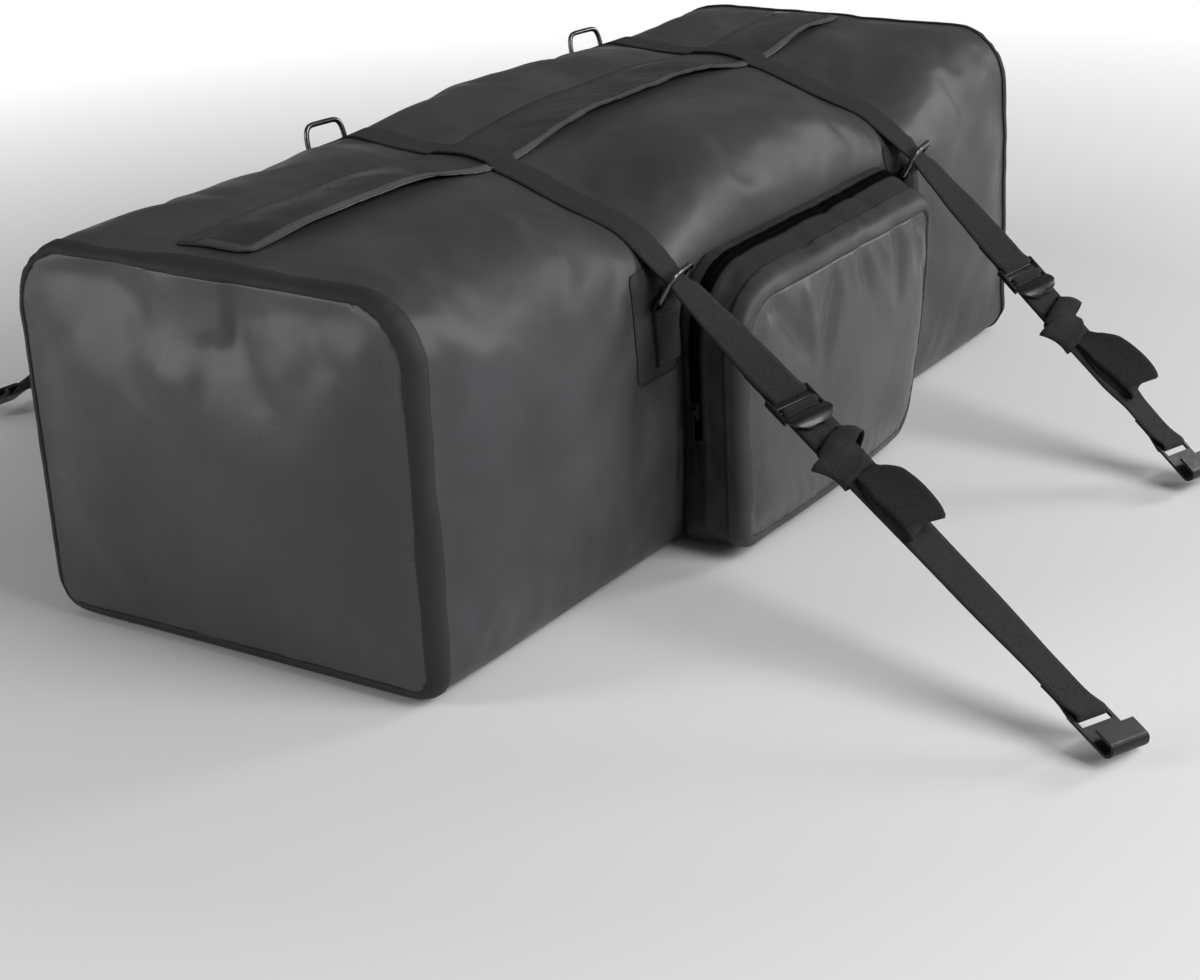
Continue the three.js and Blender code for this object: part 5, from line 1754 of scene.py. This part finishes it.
@dataclass
class OverStrap:
    """A strap over the bag, from buckle to buckle through both rings."""

    shop: Workshop
    surface: Surface
    flap: TopFlap
    name: str
    front: StrapLine
    back: StrapLine
    front_reach: float = -0.196
    back_reach: float = 0.194
    half_feel: float = 0.012
    lift: float = 0.0006
    squeeze: float = 0.15
    squeeze_reach: float = 0.013

    def fold(self, line: StrapLine) -> list[Stop]:
        """The sewn fold round the buckle's top bar, and the run up to the ring.

        Args:
            line: The run on that side.

        Returns:
            The stops from the fold's free end, all across the same way.
        """
        b, lay = BUCKLE, (WEB.thickness + WEB.gap) / 2
        clear, middle, end = b.top_bar + 3 * b.grip, b.top_bar + 0.6 * WEB.fold, b.top_bar + WEB.fold
        places = [(end, -lay), (middle, -lay), (clear, -lay), *arc(b.top_bar, 0.0, b.grip, -90, -270, 10),
                  (clear, lay), (middle, lay), (end, lay), *((b.distance * share, lay) for share in (0.55, 0.8, 0.94))]
        stops = line.stops(places)
        for stop in stops:
            stop.side = stop.side * (1 if line.side.x > 0 else -1)
        return stops

    def over_bag(self) -> list[Stop]:
        """The stretch that lies on the bag, over the flap in its middle.

        Returns:
            The stops from the front to the back.
        """
        flap, count = self.flap, 44
        stops = []
        for k in range(count + 1):
            y = self.front_reach + (self.back_reach - self.front_reach) * k / count
            x = self.front.station + BAG.skew * y
            places = [self.surface.over_top(x + off, y) for off in (-self.half_feel, 0.0, self.half_feel)]
            found, normal = places[1]
            lift = self.lift + WEB.thickness / 2
            inside = -flap.outline(found)
            if inside > -0.004:
                lift += (flap.lift(found) + flap.thickness + flap.hem_wall) * ease(inside, -0.004, 0.004)
            stops.append(Stop(found + normal * lift, (places[2][0] - places[0][0]).normalized()))
        return stops

    def _squeeze(self, shape: bmesh.types.BMesh, line: StrapLine) -> None:
        """Narrows the webbing a little where it passes a ring, so that the ring has room to swing.

        Args:
            shape: The strap's sheet.
            line: The run on that side.
        """
        for vert in shape.verts:
            away = vert.co - line.seat
            off = away.dot(line.bar)
            near = (away - line.bar * off).length / self.squeeze_reach
            vert.co -= line.bar * (off * self.squeeze * math.exp(-near * near))

    def build(self) -> None:
        """Builds the strap and the stitches of its folds."""
        passes = [Stop(line.seat, line.bar * math.copysign(1.0, line.bar.x)) for line in (self.front, self.back)]
        shape = ribbon([*self.fold(self.front), passes[0], *self.over_bag(), passes[1],
                        *reversed(self.fold(self.back))])
        for line in (self.front, self.back):
            self._squeeze(shape, line)
        self.shop.strap(f"{self.name}_strap", shape, f"{self.name}_over_strap")
        sewing = Stitching()
        for line in (self.front, self.back):
            low, high = BUCKLE.top_bar + 0.014, BUCKLE.top_bar + WEB.fold - 0.003
            sewing.box(WEB.sewn_half, low, high, line.sewn_at(WEB.thickness + WEB.gap), 1)
        sewing.finish(self.shop, f"{self.name}_strap_stitches")


@dataclass
class Buckle:
    """A ladder-lock buckle: two rails, a top bar, a toothed grip bar and a thumb tongue."""

    shop: Workshop
    line: StrapLine
    sizes: BuckleSizes = BUCKLE
    clearance: float = 0.0012
    tongue_rise: float = 0.0040
    tongue_crown: float = 0.0016

    def build(self) -> None:
        """Builds the buckle in its own axes and puts it on its run."""
        b, shape = self.sizes, bmesh.new()
        inner = WEB.width / 2 + self.clearance
        half = inner + b.rail_width
        width = 2 * half - b.rail_width
        low, high = -b.tongue_start, b.top_bar + b.bar_radius + 0.0008
        for sign in (-1, 1):
            middle = Matrix.Translation((sign * (inner + b.rail_width / 2), (low + high) / 2, 0.0))
            add_block(shape, Vector((b.rail_width, high - low, b.rail_height)), middle, 0.0012, 4)
        across = Matrix.Rotation(math.pi / 2, 4, "Y")
        add_bar(shape, b.bar_radius, width, Matrix.Translation((0, b.top_bar, 0)) @ across)
        grip = Matrix.Translation((0, 0, b.grip_rise)) @ Matrix.Rotation(math.radians(-25), 4, "X")
        add_block(shape, Vector((width, 0.0042, 0.0036)), grip, 0.0008)
        ladder = Matrix.Translation((0, b.top_bar / 2, 0.0004))
        add_block(shape, Vector((width, 0.0062, 0.0026)), ladder, 0.0009)
        self._tongue(shape, half)
        bmesh.ops.transform(shape, matrix=self.line.basis(), verts=shape.verts)
        self.shop.piece(f"{self.line.name}_ladder_lock", shape, BUCKLE_PLASTIC, f"{self.line.name}_buckle")

    def _tongue(self, shape: bmesh.types.BMesh, half: float) -> None:
        """Adds the tongue: a rounded plate that rises a little, with a raised rim at its tip.

        Args:
            shape: The buckle's mesh.
            half: Half the buckle's width.
        """
        b = self.sizes
        start, tip = -b.tongue_start + 0.002, -b.tongue_end
        base = b.tail + WEB.thickness / 2 + 0.0004

        def narrowed(v: float) -> float:
            """Half the tongue's width at a share along it."""
            return half * max(0.12, 1 - max(0.0, (v - 0.2) / 0.8) ** 2.6) ** 0.5

        def place(u: float, v: float) -> Vector:
            """Where a share across the tongue and a share along it lie."""
            rise = self.tongue_rise * math.sin(0.9 * math.pi * v) + self.tongue_crown * (1 - (2 * u - 1) ** 2)
            return Vector(((2 * u - 1) * narrowed(v), start + (tip - start) * v, base + rise))

        plate = laid_grid(20, 12, place, (1.0, 1.0))
        bmesh.ops.recalc_face_normals(plate, faces=plate.faces)
        if next(iter(plate.faces)).normal.z < 0:
            bmesh.ops.reverse_faces(plate, faces=plate.faces)
        bmesh.ops.solidify(plate, geom=plate.faces[:], thickness=-b.tongue_wall)
        rim = [e for e in plate.edges if len(e.link_faces) == 2 and e.calc_face_angle(0.0) > math.radians(50)]
        bmesh.ops.bevel(plate, geom=rim, offset=0.0007, affect="EDGES", segments=2, profile=0.5, material=-1)
        holder = bpy.data.meshes.new("tongue")
        plate.to_mesh(holder)
        plate.free()
        shape.from_mesh(holder)
        bpy.data.meshes.remove(holder)


@dataclass
class LowerStrap:
    """The strap from the buckle to the door clip, and the spare webbing tied in a slip knot."""

    shop: Workshop
    line: StrapLine
    tail_length: float = 0.046
    clip_bar: float = 0.005

    def run(self) -> list[Stop]:
        """The strap's way.

        Returns:
            The stops from the tail, round the grip bar, down to the clip and back.
        """
        b, end = BUCKLE, self.line.clip_along
        wrap = self.clip_bar / 2 + 3 * WEB.gap + WEB.thickness / 2
        turned = b.under - WEB.thickness - WEB.gap
        places = [(-self.tail_length, b.tail), (-0.030, b.tail), (-2.4 * b.grip, b.tail),
                  (-1.5 * b.grip, b.tail + 0.3 * b.grip), *arc(0.0, b.grip_rise, b.grip, 180, -90, 12),
                  *((along, b.under) for along in (-3 * b.grip, -0.05, end * 0.6, end + 0.05, end + 4 * wrap)),
                  *arc(end, self.line.clip_off, wrap, 90, 270, 10), (end + 4 * wrap, turned), (end + WEB.fold, turned)]
        return self.line.stops(places)

    def build(self) -> None:
        """Builds the strap, the knot and the stitches at the clip."""
        name, end = self.line.name, self.line.clip_along
        self.shop.strap(f"{name}_tail_strap", ribbon(self.run()), f"{name}_lower_strap")
        sewing = Stitching()
        height = BUCKLE.under + WEB.thickness / 2
        sewing.box(WEB.sewn_half, end + 0.014, end + WEB.fold - 0.002, self.line.sewn_at(height), 1)
        sewing.finish(self.shop, f"{name}_clip_stitches")
        SlipKnot(self.shop, self.line).build()
        self.shop.keep(f"{name}_door_clip", CLIP_COATING, 0.0006)


CROSS_OVER = ((0.004, 0.0022, 0.011), (0.000, 0.0054, 0.0085), (-0.005, 0.0076, 0.002), (-0.0085, 0.0068, -0.007),
              (-0.0105, 0.0038, -0.018), (-0.0112, 0.0010, -0.0255))
CROSS_UNDER = ((-0.0112, 0.0, -0.0255), (-0.010, -0.0004, -0.014), (-0.009, -0.0004, -0.002))
LOOP_WAY = ((0.0, 0.0010, 10), (0.10, 0.0024, 18), (0.22, 0.0048, 26), (0.42, 0.0082, 34), (0.62, 0.0100, 38),
            (0.80, 0.0094, 40), (0.92, 0.0076, 40), (0.985, 0.0052, 38), (1.0, 0.0030, 35), (0.975, 0.0012, 30),
            (0.90, 0.0003, 25), (0.70, 0.0, 18), (0.45, 0.0003, 12), (0.20, 0.0003, 8), (0.04, 0.0003, 6))
LOOP_SWING = {"near": 1.0, "far": 7.0}


@dataclass
class SlipKnot:
    """The spare webbing: a roll round the strap, a flat cross over it, and a loop drawn through."""

    shop: Workshop
    line: StrapLine
    distance: float = 0.066
    roll_up: float = 0.010
    roll_slant: float = 24.0
    roll_half: float = 0.0215
    roll_height: float = 0.0080
    roll_sweep: tuple[float, float] = (-200.0, 165.0)
    roll_lean: float = 0.003
    roll_swell: float = 0.45
    cross_edge: float = -0.0285
    loop_start: float = 0.022
    loop_length: float = 0.078

    def build(self) -> None:
        """Builds the knot's three stretches of webbing."""
        self._roll()
        self._cross()
        self._loop()

    def _roll(self) -> None:
        """The first turn, a full roll round the strap, open at the side that the loop comes out of."""
        line, middle = self.line, self.roll_up - self.distance
        angle, (first, last) = math.radians(self.roll_slant), self.roll_sweep
        side, normal = line.frame_at(middle)
        out = side * math.cos(angle) + line.up * math.sin(angle)
        square = line.up * math.cos(angle) - side * math.sin(angle)
        stops = []
        for share in [k / 32 for k in range(33)]:
            turn = math.radians(first + (last - first) * share)
            opening = 1 + self.roll_swell * math.cos(turn)
            x = math.copysign(abs(math.cos(turn)) ** 0.72, math.cos(turn)) * self.roll_half
            z = math.copysign(abs(math.sin(turn)) ** 0.8, math.sin(turn)) * self.roll_height * opening
            place = line.point(middle, BUCKLE.under + WEB.thickness) + normal * z + out * x
            place += square * (self.roll_lean * (share - 0.5))
            flare = 0.6 * smooth(0.2 + math.cos(turn)) * smooth(0.6 + math.sin(turn))
            stops.append(Stop(place, (square - normal * flare).normalized()))
        shape = ribbon(stops, 0.0022, lambda share: 0.019 + 0.006 * math.sin(math.pi * share), 0.0042)
        self.shop.strap(f"{line.name}_knot_roll", shape)

    def _cross(self) -> None:
        """The second turn: out of the roll's open side, flat down over the strap, folded under its far edge."""
        line, low = self.line, -self.distance
        face = BUCKLE.tail + WEB.thickness + 0.0012
        back = BUCKLE.under - WEB.thickness - 0.0008
        places = [*((low + along, face + off, across) for along, off, across in CROSS_OVER),
                  (low - 0.0115, (face + back) / 2, self.cross_edge),
                  *((low + along, back + off, across) for along, off, across in CROSS_UNDER)]
        stops = []
        for along, off, across in places:
            side, normal = line.frame_at(along)
            plan = line.up * (places[4][0] - places[1][0]) + side * (places[4][2] - places[1][2])
            stops.append(Stop(line.point(along, off, across), normal.cross(plan).normalized()))
        shape = ribbon(stops, 0.0022, lambda share: 0.013 + 0.021 * ease(share, 0.0, 0.42), 0.0026)
        self.shop.strap(f"{line.name}_knot_cross", shape)

    def _loop(self) -> None:
        """The loop drawn out of the knot, along the strap and back."""
        line, start = self.line, -self.distance - self.loop_start
        swing = math.radians(LOOP_SWING[line.end])
        side, normal = line.frame_at(start)
        out = side * math.sin(swing) - line.up * math.cos(swing)
        across = side * math.cos(swing) + line.up * math.sin(swing)
        base = line.point(start, BUCKLE.tail + 0.001)
        stops = []
        for share, off, turn in LOOP_WAY:
            lean = math.radians(turn)
            rise = off + WEB.width * 0.38 * math.sin(lean)
            place = base + out * (share * self.loop_length) + normal * rise
            stops.append(Stop(place, across * math.cos(lean) + normal * math.sin(lean)))
        shape = ribbon(stops, 0.003, lambda share: WEB.width * (0.56 + 0.40 * ease(min(share, 1 - share), 0.0, 0.22)),
                       0.0012)
        self.shop.strap(f"{line.name}_knot_loop", shape)


# The studio


@dataclass(frozen=True)
class Lamp:
    """A soft square lamp that looks at the bag."""

    name: str
    place: tuple[float, float, float]
    size: float
    power: float

    def build(self) -> None:
        """Hangs the lamp."""
        data = bpy.data.lights.new(self.name, "AREA")
        data.shape = "SQUARE"
        data.size = self.size
        data.energy = self.power
        lamp = bpy.data.objects.new(self.name, data)
        bpy.context.scene.collection.objects.link(lamp)
        place = Vector(self.place)
        turn = (Vector((0, 0, 0.15)) - place).to_track_quat("-Z", "Y")
        lamp.matrix_world = Matrix.Translation(place) @ turn.to_matrix().to_4x4()


@dataclass
class Studio:
    """The camera, lights and floor."""

    position: tuple[float, float, float] = (-1.9896, -1.3773, 0.9363)
    target: tuple[float, float, float] = (0.016, 0.0, -0.0475)
    roll: float = math.radians(-2.9108)
    lens: float = 73.39
    lamps: tuple[Lamp, ...] = (Lamp("key", (-0.2, -3.1, 2.1), 2.0, 82.0), Lamp("end", (-2.4, 1.6, 1.10), 0.8, 23.0),
                               Lamp("side", (2.6, -2.0, 1.3), 0.9, 38.0), Lamp("top", (0.2, -2.3, 3.0), 2.0, 15.0))
    surround: float = 0.18
    floor_half: float = 14.0
    white_from: float = 0.9
    white_at: float = 2.2

    def build(self) -> None:
        """Builds the studio."""
        bpy.context.scene.view_settings.view_transform = "Standard"
        self._camera()
        self._floor()
        self._world()
        for lamp in self.lamps:
            lamp.build()

    def _camera(self) -> None:
        """The camera at the photograph's angle."""
        data = bpy.data.cameras.new("view")
        data.lens = self.lens
        data.sensor_width = 36.0
        data.sensor_fit = "HORIZONTAL"
        data.clip_end = 50.0
        camera = bpy.data.objects.new("view", data)
        bpy.context.scene.collection.objects.link(camera)
        place = Vector(self.position)
        forward = (Vector(self.target) - place).normalized()
        right = forward.cross(UP).normalized()
        up = right.cross(forward)
        across = right * math.cos(self.roll) + up * math.sin(self.roll)
        above = up * math.cos(self.roll) - right * math.sin(self.roll)
        turn = Matrix((across, above, -forward)).transposed().to_4x4()
        camera.matrix_world = Matrix.Translation(place) @ turn
        bpy.context.scene.camera = camera

    def _floor(self) -> None:
        """A plain pale floor, which turns white away from the bag."""
        shape = bmesh.new()
        bmesh.ops.create_grid(shape, x_segments=1, y_segments=1, size=self.floor_half)
        mesh = bpy.data.meshes.new("floor")
        shape.to_mesh(mesh)
        shape.free()
        floor = bpy.data.objects.new("floor", mesh)
        bpy.context.scene.collection.objects.link(floor)
        floor.location.z = -0.0005
        material, graph, shader = new_material("pale_floor")
        shader.inputs["Base Color"].default_value = (0.80, 0.80, 0.81, 1.0)
        shader.inputs["Roughness"].default_value = 0.75
        at = graph.node("TexCoord").outputs["Object"]
        away = graph.node("VectorMath", {0: at}, operation="LENGTH").outputs["Value"]
        rays = graph.node("LightPath").outputs
        seen = graph.math("MAXIMUM", rays["Is Camera Ray"], rays["Is Glossy Ray"])
        share = graph.math("MULTIPLY", graph.ramp(away, self.white_from, self.white_at), seen)
        white = graph.node("Emission", {"Color": (1.0, 1.0, 1.0, 1.0), "Strength": 1.0})
        mixed = graph.node("MixShader", {0: share, 1: shader.outputs[0], 2: white.outputs[0]})
        graph.link(material.node_tree.nodes["Material Output"], Surface=mixed.outputs[0])
        mesh.materials.append(material)

    def _world(self) -> None:
        """A plain surround that lights the object evenly."""
        world = bpy.data.worlds.new("surround")
        world.use_nodes = True
        back = world.node_tree.nodes["Background"]
        back.inputs["Color"].default_value = (1.0, 1.0, 1.0, 1.0)
        back.inputs["Strength"].default_value = self.surround
        bpy.context.scene.world = world


def main() -> None:
    """Builds the studio and the bag, sub-assembly by sub-assembly."""
    logging.basicConfig(level=logging.INFO, format="%(message)s")
    Studio().build()
    shop = Workshop()
    surface = BagShell(shop).build()
    flap = TopFlap(shop, surface)
    flap.build()
    Pocket(shop).build()
    lines = {name: StrapLine(name) for name in ("near_front", "near_back", "far_front", "far_back")}
    for line in lines.values():
        RingPlace(shop, surface, line).build()
        Buckle(shop, line).build()
        LowerStrap(shop, line).build()
    for name in ("near", "far"):
        OverStrap(shop, surface, flap, name, lines[f"{name}_front"], lines[f"{name}_back"]).build()


if __name__ == "__main__":
    main()
